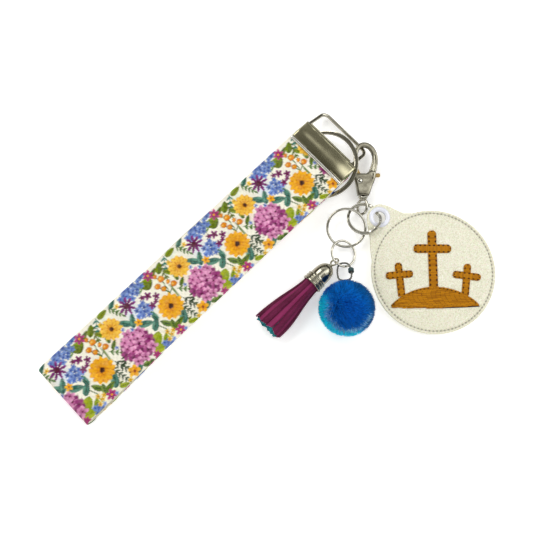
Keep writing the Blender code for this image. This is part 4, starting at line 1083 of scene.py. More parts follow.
# ------------------------------------------------------------------ split rings
def ring_ob(name, radius, w, t, height, frame_m, start, seg, mat):
    pitch = t + 0.1
    step = math.radians(26)
    total = 4 * math.pi - step - math.radians(6)
    n = int(seg * total / (2 * math.pi))
    pts, nrm = [], []
    nz = (frame_m.to_3x3() @ Vector((0, 0, 1))).normalized()
    for i in range(n + 1):
        a = total * i / n
        lift_ = smooth((a - (2 * math.pi - step)) / step)
        ang = start + a
        z = (lift_ - 0.5) * pitch + height(ang)
        pts.append(frame_m @ Vector((radius * MM * math.cos(ang), radius * MM * math.sin(ang), z * MM)))
        nrm.append(nz)
    sec = rect_section(w * MM, t * MM, 0.26 * t * MM, 3)
    v, f = sweep(pts, sec, False, normals=nrm)
    return outward(mesh_piece(name, v, f, mat, 40))


RING_A_C, RING_A_R, RING_A_SLOPE = (155.8, -3.0), 15.25, (0.20, -0.13)
ra_z = 0.95 + RING_A_R * math.hypot(*RING_A_SLOPE)
ring_a = ring_ob("large_ring_coils", RING_A_R, 1.9, 0.65, lambda a: 0.0, tilt_matrix(W(*RING_A_C, ra_z), RING_A_SLOPE), math.radians(150), 150, NICKEL)
done(ring_a, "large_ring", "nickel", "split_ring_large")

# ------------------------------------------------------------------ clasp
HEADING, PITCH_C = math.radians(41.47), math.radians(4.0)
ux = Vector((math.cos(HEADING) * math.cos(PITCH_C), math.sin(HEADING) * math.cos(PITCH_C), math.sin(PITCH_C)))
uy = Vector((-math.sin(HEADING), math.cos(HEADING), 0.0))
CLASP = Matrix((ux, uy, ux.cross(uy))).transposed().to_4x4()
CLASP.translation = W(158.6, -26.18, 3.0)
PIVOT = (6.6, 2.2)


def lift(z):
    return CLASP @ Matrix.Translation(Vector((0, 0, z * MM)))


def clasp_ob():
    hook_line = [(8.6, -2.6), (12.0, -3.6), (16.0, -4.3), (19.4, -4.0), (22.4, -2.3), (23.9, 0.3), (23.3, 2.9), (21.3, 4.3), (18.8, 4.55)]
    hook_w = [2.0, 1.75, 1.5, 1.35, 1.3, 1.25, 1.2, 1.1, 0.9]
    hl = spline([(x, y, w) for (x, y), w in zip(hook_line, hook_w)], 8)
    lft, rgt = [], []
    for i, (x, y, w) in enumerate(hl):
        a, b = hl[max(i - 1, 0)], hl[min(i + 1, len(hl) - 1)]
        tx, ty = b[0] - a[0], b[1] - a[1]
        l = math.hypot(tx, ty)
        lft.append((x - ty / l * w * 0.92, y + tx / l * w * 0.92))
        rgt.append((x + ty / l * w * 0.92, y - tx / l * w * 0.92))
    hook = plate("hook", lft + rgt[::-1], 1.2, lift(0.45), bevel=0.55, res=4)
    body_line = [(0.0, -2.5), (0.0, 2.5), (1.0, 2.9), (4.0, 3.6), (7.0, 4.5), (9.0, 5.0), (9.9, 4.4), (10.2, 2.0), (10.4, -0.6), (11.6, -2.2), (12.0, -4.0), (11.4, -5.2), (8.0, -4.9), (4.0, -3.7), (1.0, -2.9)]
    body = plate("clasp_casting", body_line, 2.1, lift(0.0), bevel=0.7, res=4)
    body = cut(body, hook, "UNION")
    body = cut(body, box_at((4.6, -9.0, -4.0), (11.9, 9.0, -0.25), CLASP))
    body = cut(body, box_at((11.5, -2.2, -4.0), (22.5, 9.0, -0.25), CLASP))
    body = cut(body, rod_at(1.2, 8.0, CLASP @ Matrix.Rotation(math.pi / 2, 4, "Y")))
    body = cut(body, box_at((1.7, -1.95, -4.0), (3.9, 1.95, 1.72), CLASP))
    body = cut(body, rod_at(1.0, 12.0, CLASP @ Matrix.Translation(Vector((PIVOT[0] * MM, PIVOT[1] * MM, 0)))))
    # shallow cast groove along the spine
    gl = [(8.0, -3.4), (11.0, -3.75), (16.0, -4.3), (19.2, -4.0)]
    pts = spline(gl, 6)
    prof = [(x + 0.0, y + 0.28) for x, y in pts] + [(x, y - 0.28) for x, y in pts[::-1]]
    body = cut(body, plate("groove", prof, 0.25, lift(1.75), bevel=0.0))
    return cast(body, 0.13, 4, CASTING, "clasp_casting")


done(clasp_ob(), "clasp", "nickel", "clasp_body")
piv = CLASP @ Matrix.Translation(Vector((PIVOT[0] * MM, PIVOT[1] * MM, 0)))
riv_prof = [(0, 2.72), (0.35, 2.71), (0.7, 2.66), (1.0, 2.55), (1.25, 2.40), (1.35, 2.25), (0.7, 2.25), (0.7, -2.05), (1.3, -2.05), (1.27, -2.2), (1.1, -2.38), (0.7, -2.48), (0, -2.5)]
done(lathe("gate_rivet", riv_prof, 48, BRIGHT, piv), "clasp", "nickel", "clasp_rivet")


def gate_ob():
    arm = [(PIVOT[0] + 1.7 * math.cos(a), PIVOT[1] + 1.7 * math.sin(a)) for a in [math.radians(k) for k in range(75, 236, 8)]]
    lower = [(7.0, 0.5), (7.6, 0.2), (9.0, -3.0), (9.6, -6.0), (9.7, -7.0), (10.4, -7.5), (11.3, -7.2), (11.5, -6.2), (10.9, -3.6), (10.2, -0.4), (10.6, 1.5), (13.5, 3.1), (17.0, 3.8), (21.0, 3.95), (21.5, 4.3), (21.4, 4.9), (20.6, 5.3), (16.0, 5.2), (11.5, 4.65), (8.6, 4.1), (7.6, 3.85)]
    line = arm + spline(lower, 3)
    ob = plate("gate_lever", line, 0.55, lift(-1.30), holes=[circle(*PIVOT, 0.98, 40)[::-1]], bevel=0.16, res=3)
    return ob


g = gate_ob()
g = cast(g, 0.10, 2, BRASS, "gate_lever")
done(g, "gate", "gate_metal", "clasp_gate")


# ------------------------------------------------------------------ swivel eye
def swivel_ob():
    eye = CLASP @ Matrix.Rotation(math.radians(-45), 4, "X")
    ctrl = [(-1.75, 0.0), (-2.1, 1.45), (-3.3, 2.4), (-5.0, 2.6), (-6.8, 2.35), (-8.1, 1.4), (-8.5, 0.0), (-8.1, -1.4), (-6.8, -2.35), (-5.0, -2.6), (-3.3, -2.4), (-2.1, -1.45)]
    pts = [eye @ Vector((x * MM, y * MM, 0)) for x, y in spline(ctrl, 8, cyclic=True)]
    v, f = sweep(pts, round_section(0.65 * MM, 20), True, (eye.to_3x3() @ Vector((0, 0, 1))).normalized())
    loop = outward(mesh_piece("loop", v, f, BRIGHT, 0))
    prof = rounded([(0, 3.25), (1.1, 3.2), (1.42, 2.95), (1.42, 2.45), (0.88, 2.15), (0.88, -0.35), (2.1, -0.45), (2.25, -0.75), (2.1, -1.15), (1.2, -1.5), (0.9, -1.9), (0, -1.95)], 0.2)
    shank = lathe("swivel_shank", prof, 48, BRIGHT, CLASP @ Matrix.Rotation(math.pi / 2, 4, "Y"))
    ob = cut(shank, loop, "UNION")
    return cast(ob, 0.09, 3, BRIGHT, "swivel_shank")


done(swivel_ob(), "swivel", "nickel", "swivel_eye")

# ------------------------------------------------------------------ small split ring
RB_C, RB_R, RB_SLOPE, BUMP_B = (151.0, -34.2), 7.3, 0.20, 1.72
EY_A, EY_D = math.radians(-39.3), 6.9


def ring_b_height(a):
    d = math.degrees((a - EY_A + math.pi) % (2 * math.pi) - math.pi)
    if d >= 0:
        low = smooth(d / 25.0) if d < 25 else (1.0 if d < 34 else 1.0 - smooth((d - 34.0) / 31.0))
        return -BUMP_B * low
    d = -d
    high = smooth(d / 25.0) if d < 25 else (1.0 if d < 50 else 1.0 - smooth((d - 50.0) / 36.0))
    return BUMP_B * high


rb_m = tilt_matrix(W(*RB_C, 2.74 + RB_R * RB_SLOPE), (-RB_SLOPE * math.cos(HEADING), -RB_SLOPE * math.sin(HEADING)))
ring_b = ring_ob("small_ring_coils", RB_R, 1.25, 0.65, ring_b_height, rb_m, math.radians(140), 120, BRIGHT)
done(ring_b, "small_ring", "nickel", "split_ring_small")


# ------------------------------------------------------------------ jump rings
def jump_ring(name, centre, slope, R, r, mat, gap_at):
    """Round wire bent to a circle, with the hairline butt joint of a jump ring."""
    m = tilt_matrix(W(*centre), slope)
    n = 150
    pts = []
    half_gap = 0.0035
    for i in range(n + 1):
        a = gap_at + half_gap + (2 * math.pi - 2 * half_gap) * i / n
        pts.append(m @ Vector((R * MM * math.cos(a), R * MM * math.sin(a), 0)))
    v, f = sweep(pts, round_section(r * MM, 20), False, (m.to_3x3() @ Vector((0, 0, 1))).normalized())
    return outward(mesh_piece(name, v, f, mat, 40))


RC_C, RC_R, RC_SLOPE = (142.08, -31.61, 4.30), 8.6, (0.122, 0.128)
RD_C, RD_R, RD_SLOPE = (132.9, -39.02, 3.23), 5.94, (-0.322, 0.296)
done(jump_ring("large_jump_ring", RC_C, RC_SLOPE, RC_R, 0.6, BRIGHT, 1.1), "link_large", "nickel", "jump_ring_large")
done(jump_ring("small_jump_ring", RD_C, RD_SLOPE, RD_R, 0.55, BRIGHT, 1.9), "link_small", "nickel", "jump_ring_small")

# ------------------------------------------------------------------ charm
CH_R, CH_TAB, CH_Z, CH_P = 28.1, 34.4, 4.12, math.radians(3.0)
eyelet_xy = (RB_C[0] + EY_D * math.cos(EY_A), RB_C[1] + EY_D * math.sin(EY_A))
cp, sn = math.cos(CH_P), math.sin(CH_P)
CHARM = Matrix(((1, 0, 0), (0, cp, -sn), (0, sn, cp))).to_4x4()
CHARM.translation = W(eyelet_xy[0], eyelet_xy[1] - CH_TAB * cp, CH_Z - CH_TAB * sn)


def charm_outline(inset=0.0, fine=2.0):
    tab = [(-16.9, 22.2), (-13.6, 26.6), (-9.9, 30.6), (-6.2, 35.9), (-3.2, 39.1), (0.4, 40.2), (4.2, 38.8), (6.6, 35.3), (7.9, 31.6), (9.4, 28.3), (12.6, 25.0)]
    flank = spline(tab, 8)
    a0, a1 = math.atan2(25.0, 12.6), math.atan2(22.2, -16.9) - 2 * math.pi
    disc = circle(0, 0, CH_R, 240, a0, a1, closed=False)
    pts = flank + disc[1:-1]
    # even spacing, then inward offset
    P = np.array(pts)
    Q = np.vstack([P, P[:1]])
    L_ = np.concatenate([[0], np.cumsum(np.hypot(*(Q[1:] - Q[:-1]).T))])
    n = 420
    t = np.linspace(0, L_[-1], n, endpoint=False)
    X, Y = np.interp(t, L_, Q[:, 0]), np.interp(t, L_, Q[:, 1])
    for _ in range(6):
        X = (np.roll(X, 1) + 2 * X + np.roll(X, -1)) / 4
        Y = (np.roll(Y, 1) + 2 * Y + np.roll(Y, -1)) / 4
    tx, ty = np.roll(X, -1) - np.roll(X, 1), np.roll(Y, -1) - np.roll(Y, 1)
    l = np.hypot(tx, ty)
    area = np.sum(X * np.roll(Y, -1) - Y * np.roll(X, -1))
    sgn = 1.0 if area > 0 else -1.0
    return X - sgn * ty / l * inset, Y + sgn * tx / l * inset, L_[-1]


def motif(x, y):
    t = math.radians(46.06 - 90.0)
    return x * math.cos(t) - y * math.sin(t), x * math.sin(t) + y * math.cos(t)


def mound_top(x):
    u = (x - 0.2) / 20.1
    return -15.7 + 8.8 * (np.clip(1 - u * u, 0, 1)) ** 0.85


def mound_low(x):
    u = np.clip((x - 0.2) / 19.8, -1, 1)
    return -15.9 - 0.7 * (1 - u * u)


CROSSES = ((-0.3, 10.4, 8.3, 18.5, 8.5, 3.9, 0.0), (-15.6, -1.6, 5.4, 12.0, 6.1, 3.2, math.radians(5)), (14.9, -1.9, 5.4, 12.0, 6.3, 3.2, math.radians(-7)))


SEAM_R = 26.75


def seam_points(pitch):
    """The running stitch is a full circle that passes below the tab."""
    a = np.linspace(0, 2 * math.pi, 721)
    Q = np.c_[SEAM_R * np.cos(a), SEAM_R * np.sin(a)]
    d = np.concatenate([[0], np.cumsum(np.hypot(*(Q[1:] - Q[:-1]).T))])
    return Q, d, int(round(d[-1] / pitch))


def vinyl_ob(name, zmid, mat, front):
    """Disc with a soft cut edge; the front has the sunk seam line and needle pits, darkened with painted shade."""
    X0, Y0, _ = charm_outline(0.0)
    rings = [np.c_[X0, Y0]]
    insets = [0.05, 0.14, 0.30, 0.6] if front else [0.05, 0.14, 0.30, 0.7]
    for q in insets:
        a, b_, _ = charm_outline(q)
        rings.append(np.c_[a, b_])
    hole = np.array(circle(0, CH_TAB, 3.35, 60))
    step = 0.62 if front else 1.4
    gx, gy = np.meshgrid(np.arange(-29, 29, step), np.arange(-29, 41, step * 0.866))
    gx = gx + (np.arange(gx.shape[0]) % 2)[:, None] * step / 2
    G = np.c_[gx.ravel(), gy.ravel()]
    a, b_, _ = charm_outline(insets[-1] + 0.35)
    ok = inside(a, b_, G[:, 0], G[:, 1]) & (np.hypot(G[:, 0], G[:, 1] - CH_TAB) > 3.35 + 0.3)
    if front:
        ok &= np.abs(np.hypot(G[:, 0], G[:, 1]) - SEAM_R) > 0.75
    G = G[ok]
    if front:
        for q in (-0.62, -0.46, -0.33, -0.22, -0.11, 0.0, 0.11, 0.22, 0.33, 0.46, 0.62):
            c_ = np.array(circle(0, 0, SEAM_R + q, 784, a0=0.001 * q))
            c_ = c_[inside(a, b_, c_[:, 0], c_[:, 1])]
            G = np.vstack([G, c_])
    # points in rings must stay clear of the hole
    ring_pts = np.vstack(rings[1:])
    ring_pts = ring_pts[np.hypot(ring_pts[:, 0], ring_pts[:, 1] - CH_TAB) > 3.6]
    n0, nh = len(rings[0]), len(hole)
    P = np.vstack([rings[0], hole, ring_pts, G])
    edges = [(i, (i + 1) % n0) for i in range(n0)] + [(n0 + i, n0 + (i + 1) % nh) for i in range(nh)]
    vc, _, fc, ov, _, _ = delaunay_2d_cdt([Vector(q) for q in P.tolist()], edges, [], 0, 1e-5, True)
    V2 = np.array([tuple(q) for q in vc])
    F = np.array([list(q) for q in fc])
    c = V2[F].mean(1)
    keep = inside(X0, Y0, c[:, 0], c[:, 1]) & (np.hypot(c[:, 0], c[:, 1] - CH_TAB) > 3.345)
    F = F[keep]
    used = np.unique(F)
    remap = -np.ones(len(V2), int)
    remap[used] = np.arange(len(used))
    V2, F = V2[used], remap[F]
    # distance to the outline
    D_ = np.full(len(V2), 9.0)
    for i in range(0, n0, 1):
        D_ = np.minimum(D_, np.hypot(V2[:, 0] - X0[i], V2[:, 1] - Y0[i]))
    x, y = V2[:, 0], V2[:, 1]
    rnd = 0.14 * np.sqrt(np.clip(1 - (1 - np.clip(D_ / 0.26, 0, 1)) ** 2, 0, 1))
    top = 0.16 + rnd
    pit_dent_and_shade = np.zeros(len(V2))
    if front:
        rad = np.hypot(x, y)
        top = top - 0.12 * np.exp(-((rad - SEAM_R) / 0.42) ** 2)
        Q, d, n = seam_points(1.72)
        for k in range(n):
            for t in (k / n * d[-1] - 0.34, k / n * d[-1] - 0.14, k / n * d[-1] + 0.02):
                hx_, hy_ = np.interp(t % d[-1], d, Q[:, 0]), np.interp(t % d[-1], d, Q[:, 1])
                r2 = (x - hx_) ** 2 + (y - hy_) ** 2
                pit_dent_and_shade = np.maximum(pit_dent_and_shade, np.exp(-r2 / 0.085))
        top = top - 0.16 * pit_dent_and_shade + 0.018 * np.sin(x * 0.9 + 1.3 * np.sin(y * 0.5)) * np.cos(y * 0.8)
    m = len(V2)
    co = np.zeros((2 * m, 3))
    co[:m, :2] = co[m:, :2] = V2
    co[:m, 2] = top
    co[m:, 2] = -(0.16 + rnd)
    faces = F.tolist() + [[a + m, c_ + m, b2 + m] for a, b2, c_ in F.tolist()]
    cnt = {}
    for a, b2, c_ in F.tolist():
        for e in ((a, b2), (b2, c_), (c_, a)):
            cnt[e] = 1
    for (a, b2) in list(cnt):
        if (b2, a) not in cnt:
            faces.append([a, a + m, b2 + m, b2])
    M = CHARM @ Matrix.Translation(Vector((0, 0, zmid * MM)))
    R_ = np.array(M.to_3x3())
    T_ = np.array(M.translation)
    world = (co * MM) @ R_.T + T_
    ob = outward(mesh_piece(name, world.tolist(), faces, mat, 50))
    if front:
        point_value(ob, "pit_dent_and_shade", np.clip(np.concatenate([pit_dent_and_shade, np.zeros(m)]) * 0.90, 0, 1))
    return ob


done(vinyl_ob("vinyl_face", 0.45, VINYL, True), "charm", "vinyl", "charm_front")
done(vinyl_ob("vinyl_underside", -0.45, VINYL_BACK, False), "charm", "vinyl", "charm_back")


# ------------------------------------------------------------------ threads
class Threads:
    """Many short strands collected into one piece; each stands slightly proud in its middle."""

    def __init__(self, sides=6):
        self.v, self.f, self.tone, self.k = [], [], [], sides

    def stitch(self, a, b, r, crown, tone, z=0.0, steps=6, sag=0.0, flat=0.72):
        a, b = Vector(a), Vector(b)
        d = b - a
        if d.length < 1e-6:
            return
        t = d.normalized()
        s = Vector((-t.y, t.x))
        base = len(self.v)
        for i in range(steps + 1):
            u = i / steps
            taper = math.sqrt(max(0.0, 1 - (2 * u - 1) ** 8)) * 0.75 + 0.25
            c = a + d * u
            h = z + crown * (1 - (2 * u - 1) ** 2) - sag * abs(2 * u - 1) ** 4
            for q in range(self.k):
                an = 2 * math.pi * q / self.k
                self.v.append((c.x + s.x * math.cos(an) * r * taper, c.y + s.y * math.cos(an) * r * taper, h + math.sin(an) * r * flat * taper))
                self.tone.append(tone)
        for i in range(steps):
            for q in range(self.k):
                q2 = (q + 1) % self.k
                self.f.append((base + i * self.k + q, base + i * self.k + q2, base + (i + 1) * self.k + q2, base + (i + 1) * self.k + q))
        self.f.append(tuple(base + q for q in range(self.k))[::-1])
        self.f.append(tuple(base + steps * self.k + q for q in range(self.k)))

    def piece(self, name, matrix, mat):
        V_ = np.array(self.v)
        R_, T_ = np.array(matrix.to_3x3()), np.array(matrix.translation)
        ob = outward(mesh_piece(name, ((V_ * MM) @ R_.T + T_).tolist(), self.f, mat, 60))
        point_value(ob, "tone", self.tone)
        return ob


EMB_TOP = CHARM @ Matrix.Translation(Vector((0, 0, 0.75 * MM)))
rs = np.random.RandomState(21)

th = Threads(8)
Q, dd, n_st = seam_points(1.72)
for k in range(n_st):
    t0 = k / n_st * dd[-1]
    pa = (np.interp((t0 + 0.20) % dd[-1], dd, Q[:, 0]), np.interp((t0 + 0.20) % dd[-1], dd, Q[:, 1]))
    pb = (np.interp((t0 + 1.24) % dd[-1], dd, Q[:, 0]), np.interp((t0 + 1.24) % dd[-1], dd, Q[:, 1]))
    th.stitch(pa, pb, 0.20, 0.10, float(rs.rand()), z=-0.11, steps=6, sag=0.12)
seam = th.piece("edge_stitching", EMB_TOP, SEAM)
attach(seam, "charm")


def charm_xy(x, y):
    return motif(x, y)


def fill_rows(T, pitch, seglen, r, seed):
    """Brick-laid fill stitches that run along the mound, row over row."""
    rr = np.random.RandomState(seed)
    y = -16.45
    row = 0
    while y < -7.0:
        xs = np.linspace(-19.6, 20.0, 400)
        ok = (mound_low(xs) + 0.12 < y) & (mound_top(xs) - 0.12 > y)
        if ok.sum() > 6:
            a, b_ = xs[ok][0], xs[ok][-1]
            off = (row % 3) * seglen / 3
            cuts = [a] + [c for c in np.arange(a - seglen + off, b_, seglen) if a + 0.8 < c < b_ - 0.8] + [b_]
            for k in range(len(cuts) - 1):
                c0, c1 = cuts[k] + 0.02, cuts[k + 1] - 0.02
                m = max(1, int((c1 - c0) / 3.5))
                slope = 0.030
                T.stitch(charm_xy(c0 - 0.10, y + slope * c0), charm_xy(c1 + 0.10, y + slope * c1), r, 0.06, float(np.clip(0.5 + rr.randn() * 0.34, 0, 1)), z=0.28 + rr.uniform(-0.025, 0.025), steps=6, sag=0.05)
        y += pitch
        row += 1


def pad(name, outline, half, z, mat):
    pl = plate(name, outline, half, CHARM @ Matrix.Translation(Vector((0, 0, (0.75 + z) * MM))), bevel=0.0)
    return pl


def mound_outline(inset=0.0):
    xs = np.linspace(-19.7, 20.1, 60)
    up = [charm_xy(x, float(mound_top(x)) - inset) for x in xs]
    dn = [charm_xy(x, float(mound_low(x)) + inset) for x in xs[::-1]]
    return (up + dn)[::-1]


class NeedleHoleShade:
    """Small dark ovals of painted shade standing for needle holes, set along the edges of the satin."""

    def __init__(self):
        self.v, self.f = [], []

    def add(self, at_, along_, r=0.30, long_=0.36, z=0.60):
        c = Vector(at_)
        t = (Vector(along_) - c).normalized()
        s_ = Vector((-t.y, t.x))
        k = 10
        base_ = len(self.v)
        for level, grow in ((z, 1.0), (z + 0.06, 0.72)):
            for q in range(k):
                an = 2 * math.pi * q / k
                self.v.append((c.x + t.x * math.cos(an) * long_ * grow + s_.x * math.sin(an) * r * grow, c.y + t.y * math.cos(an) * long_ * grow + s_.y * math.sin(an) * r * grow, level))
        for q in range(k):
            q2 = (q + 1) % k
            self.f.append((base_ + q, base_ + q2, base_ + k + q2, base_ + k + q))
        self.f.append(tuple(base_ + k + q for q in range(k)))
        self.f.append(tuple(base_ + q for q in range(k))[::-1])

    def piece(self, name):
        V_ = np.array(self.v)
        R_, T_ = np.array(EMB_TOP.to_3x3()), np.array(EMB_TOP.translation)
        ob = outward(mesh_piece(name, ((V_ * MM) @ R_.T + T_).tolist(), self.f, STITCH_SHADE, 60))
        point_value(ob, "tone", np.full(len(self.v), 0.4))
        return ob


T = Threads(6)
fill_rows(T, 0.36, 4.2, 0.225, 5)
# the mound's border: short satin stitches over its curved edge
rr_ = np.random.RandomState(8)
for x in np.arange(-19.5, 19.9, 0.40):
    y = float(mound_top(x))
    e = 1e-2
    sl = (float(mound_top(x + e)) - float(mound_top(x - e))) / (2 * e)
    n_ = Vector((-sl, 1.0)).normalized()
    room_ = min(0.95, max(0.2, (y - float(mound_low(x))) * 0.5))
    T.stitch(charm_xy(x - n_.x * room_, y - n_.y * room_), charm_xy(x + n_.x * 0.05, y + n_.y * 0.05), 0.22, 0.15, float(np.clip(0.55 + rr_.randn() * 0.22, 0, 1)), z=0.30, steps=5, sag=0.16)
m_thread = T.piece("mound_stitching", EMB_TOP, THREAD)
done(m_thread, "charm", "thread", "embroidery_mound")
# Dark sheet under the mound's stitches: painted shade showing between the rows.
base = evaluated(pad("mound_shade_backing", mound_outline(0.15), 0.11, 0.17, STITCH_SHADE), "mound_shade_backing", STITCH_SHADE)
point_value(base, "tone", np.full(len(base.data.vertices), 0.4))
done(base, "charm", "thread", "embroidery_mound")
pt_ = NeedleHoleShade()
for x in np.arange(-18.6, 19.4, 1.75):
    if any(abs(x - c_) < w_ for c_, w_ in ((-0.3, 2.2), (-14.2, 1.9), (13.6, 1.9))):
        continue
    y = float(mound_top(x)) - 0.62
    if y - float(mound_low(x)) > 0.6:
        pt_.add(charm_xy(x, y), charm_xy(x + 0.4, float(mound_top(x + 0.4)) - 0.62), 0.26, 0.42, z=0.60)
for x in np.arange(-18.4, 19.4, 2.2):
    pt_.add(charm_xy(x, float(mound_low(x)) + 0.30), charm_xy(x + 0.4, float(mound_low(x + 0.4)) + 0.30), 0.13, 0.30)
done(pt_.piece("mound_needle_hole_shade"), "charm", "thread", "embroidery_mound")


def cross_stitches(name, node, cx, cy, up_, down, side, w, lean, seed):
    rr = np.random.RandomState(seed)
    ca, sa = math.cos(lean), math.sin(lean)

    def at(x, y):
        return charm_xy(cx + x * ca - y * sa, cy + x * sa + y * ca)

    T = Threads(6)
    h = w / 2 + 0.18
    pitch = 0.34
    lo = -down
    while True:
        mx, my = cx - lo * sa, cy + lo * ca
        if my > float(mound_top(mx)) - 0.10:
            break
        lo += 0.1

    def round_half(gap):
        """Half width near a rounded free end."""
        r_ = h * 0.80
        if gap >= r_:
            return h
        return max(0.25, (h - r_) + math.sqrt(max(0.0, r_ * r_ - (r_ - gap) ** 2)))

    n = int((up_ - lo) / pitch)
    for i in range(n):
        y = lo + (i + 0.5) * (up_ - lo) / n
        if abs(y) < h * 0.90:
            continue
        e = round_half(up_ - y)
        sl = 0.10 + rr.uniform(-0.03, 0.03)
        T.stitch(at(-e, y - sl), at(e, y + sl), 0.205, 0.17, float(np.clip(0.55 + rr.randn() * 0.25, 0, 1)), z=0.28, steps=8, sag=0.16)
    n = int(2 * side / pitch)
    for i in range(n):
        x = -side + (i + 0.5) * 2 * side / n
        e = round_half(side - abs(x)) * 0.98
        sl = 0.10 + rr.uniform(-0.03, 0.03)
        T.stitch(at(x - sl, -e), at(x + sl, e), 0.205, 0.17, float(np.clip(0.5 + rr.randn() * 0.25, 0, 1)), z=0.28, steps=8, sag=0.16)
    done(T.piece(name + "_stitching", EMB_TOP, THREAD), "charm", "thread", node)
    q = 0.22
    c_ = h * 0.6
    raw = [(-h + q, lo), (h - q, lo), (h - q, -h + q), (side - c_, -h + q), (side - q, -h + c_), (side - q, h - c_), (side - c_, h - q), (h - q, h - q), (h - q, up_ - c_), (h - c_, up_ - q), (-h + c_, up_ - q), (-h + q, up_ - c_), (-h + q, h - q),
           (-side + c_, h - q), (-side + q, h - c_), (-side + q, -h + c_), (-side + c_, -h + q), (-h + q, -h + q)]
    bk = evaluated(pad(name + "_backing", [at(*p_) for p_ in raw], 0.11, 0.17, THREAD), name + "_backing", THREAD)
    point_value(bk, "tone", np.full(len(bk.data.vertices), 0.4))
    done(bk, "charm", "thread", node)
    P_ = NeedleHoleShade()
    ein = h - 0.66
    big = 0.56 if w > 3.5 else 0.48
    for y in np.arange(lo + 0.9, up_ - 0.7, 2.2):
        if abs(y) < h + 0.3:
            continue
        for sg in (-1, 1):
            P_.add(at(sg * ein, y), at(sg * ein, y + 0.4), 0.40 if w > 3.5 else 0.34, big)
    for x in np.arange(-side + 0.9, side - 0.5, 2.1):
        for sg in (-1, 1):
            P_.add(at(x, sg * ein), at(x + 0.4, sg * ein), 0.36 if w > 3.5 else 0.30, big)
    for sg in (-1, 1):
        P_.add(at(sg * (side - 0.45), 0.0), at(sg * (side - 0.45), 0.4), 0.30, 0.40)
    P_.add(at(0.0, up_ - 0.45), at(0.4, up_ - 0.45), 0.30, 0.40)
    done(P_.piece(name + "_needle_hole_shade"), "charm", "thread", node)


for nm, node, args, sd in (("centre_cross", "embroidery_cross_center", CROSSES[0], 31), ("left_cross", "embroidery_cross_left", CROSSES[1], 32), ("right_cross", "embroidery_cross_right", CROSSES[2], 33)):
    cross_stitches(nm, node, *args, sd)

# ------------------------------------------------------------------ eyelet
ey_m = CHARM @ Matrix.Translation(Vector((0, CH_TAB * MM, 0)))
prof = rounded([(2.85, 0.9), (3.0, 1.05), (3.4, 1.2), (3.9, 1.25), (4.35, 1.18), (4.68, 1.02), (4.78, 0.88), (4.7, 0.80), (3.2, 0.80), (3.2, -0.8), (2.85, -0.8)], 0.12)
done(lathe("eyelet_flange", prof, 96, ENAMEL, ey_m), "charm", "enamel", "eyelet_front")
prof = rounded([(2.85, -0.9), (4.4, -0.9), (4.6, -1.0), (4.5, -1.15), (3.0, -1.15), (2.85, -1.05)], 0.05)
done(lathe("eyelet_back_ring", prof, 72, BRIGHT, ey_m), "charm", "nickel", "eyelet_washer")

# ------------------------------------------------------------------ tassel
TX, TY, CAP_Z = 126.9, -39.15, 5.15
d_at = lambda dx, dy: RD_C[2] + RD_SLOPE[0] * dx + RD_SLOPE[1] * dy
eye_z = d_at(TX - RD_C[0], TY - RD_C[1])
cap_prof = [(0.0, 12.5), (0.5, 12.47), (1.1, 12.28), (2.0, 11.8), (2.6, 11.3), (3.1, 10.7), (3.55, 9.95), (3.9, 9.1), (4.12, 8.2), (4.25, 7.2), (4.3, 5.2), (4.33, 4.5), (4.45, 3.95), (4.72, 3.85), (4.9, 3.6), (4.92, 3.3), (4.85, 3.05), (4.62, 2.88), (4.56, 2.7),
            (4.62, 2.5), (4.85, 2.35), (4.93, 2.1), (4.9, 1.85), (4.7, 1.65), (4.56, 1.48), (4.58, 1.3), (4.75, 1.15), (4.95, 0.95), (5.0, 0.6), (4.95, 0.25), (4.75, 0.04), (4.25, 0.0), (4.2, 4.3), (3.4, 5.4), (0.0, 5.4)]
cap = lathe("cap_dome", cap_prof, 72, CAPMETAL, Matrix.Translation(W(112.2, TY, CAP_Z)) @ Matrix.Rotation(math.pi / 2, 4, "Y"))
te = Matrix.Translation(W(TX, TY, eye_z)) @ Matrix.Rotation(math.radians(-50), 4, "X")
pts = [te @ Vector((1.95 * MM * math.cos(2 * math.pi * i / 60), 1.95 * MM * math.sin(2 * math.pi * i / 60), 0)) for i in range(60)]
v, f = sweep(pts, round_section(0.45 * MM, 16), True, (te.to_3x3() @ Vector((0, 0, 1))).normalized())
eye_ring = outward(mesh_piece("eye", v, f, CAPMETAL, 0))
cap = cut(cap, eye_ring, "UNION")
cap = cast(cap, 0.12, 2, CAPMETAL, "cap_dome")
done(cap, "tassel", "satin_metal", "tassel_cap")


TONES = [0.10, 0.78, 0.22, 0.92, 0.34, 0.62, 0.12, 0.86, 0.28, 0.70, 0.16, 0.95, 0.40, 0.08, 0.82, 0.30]


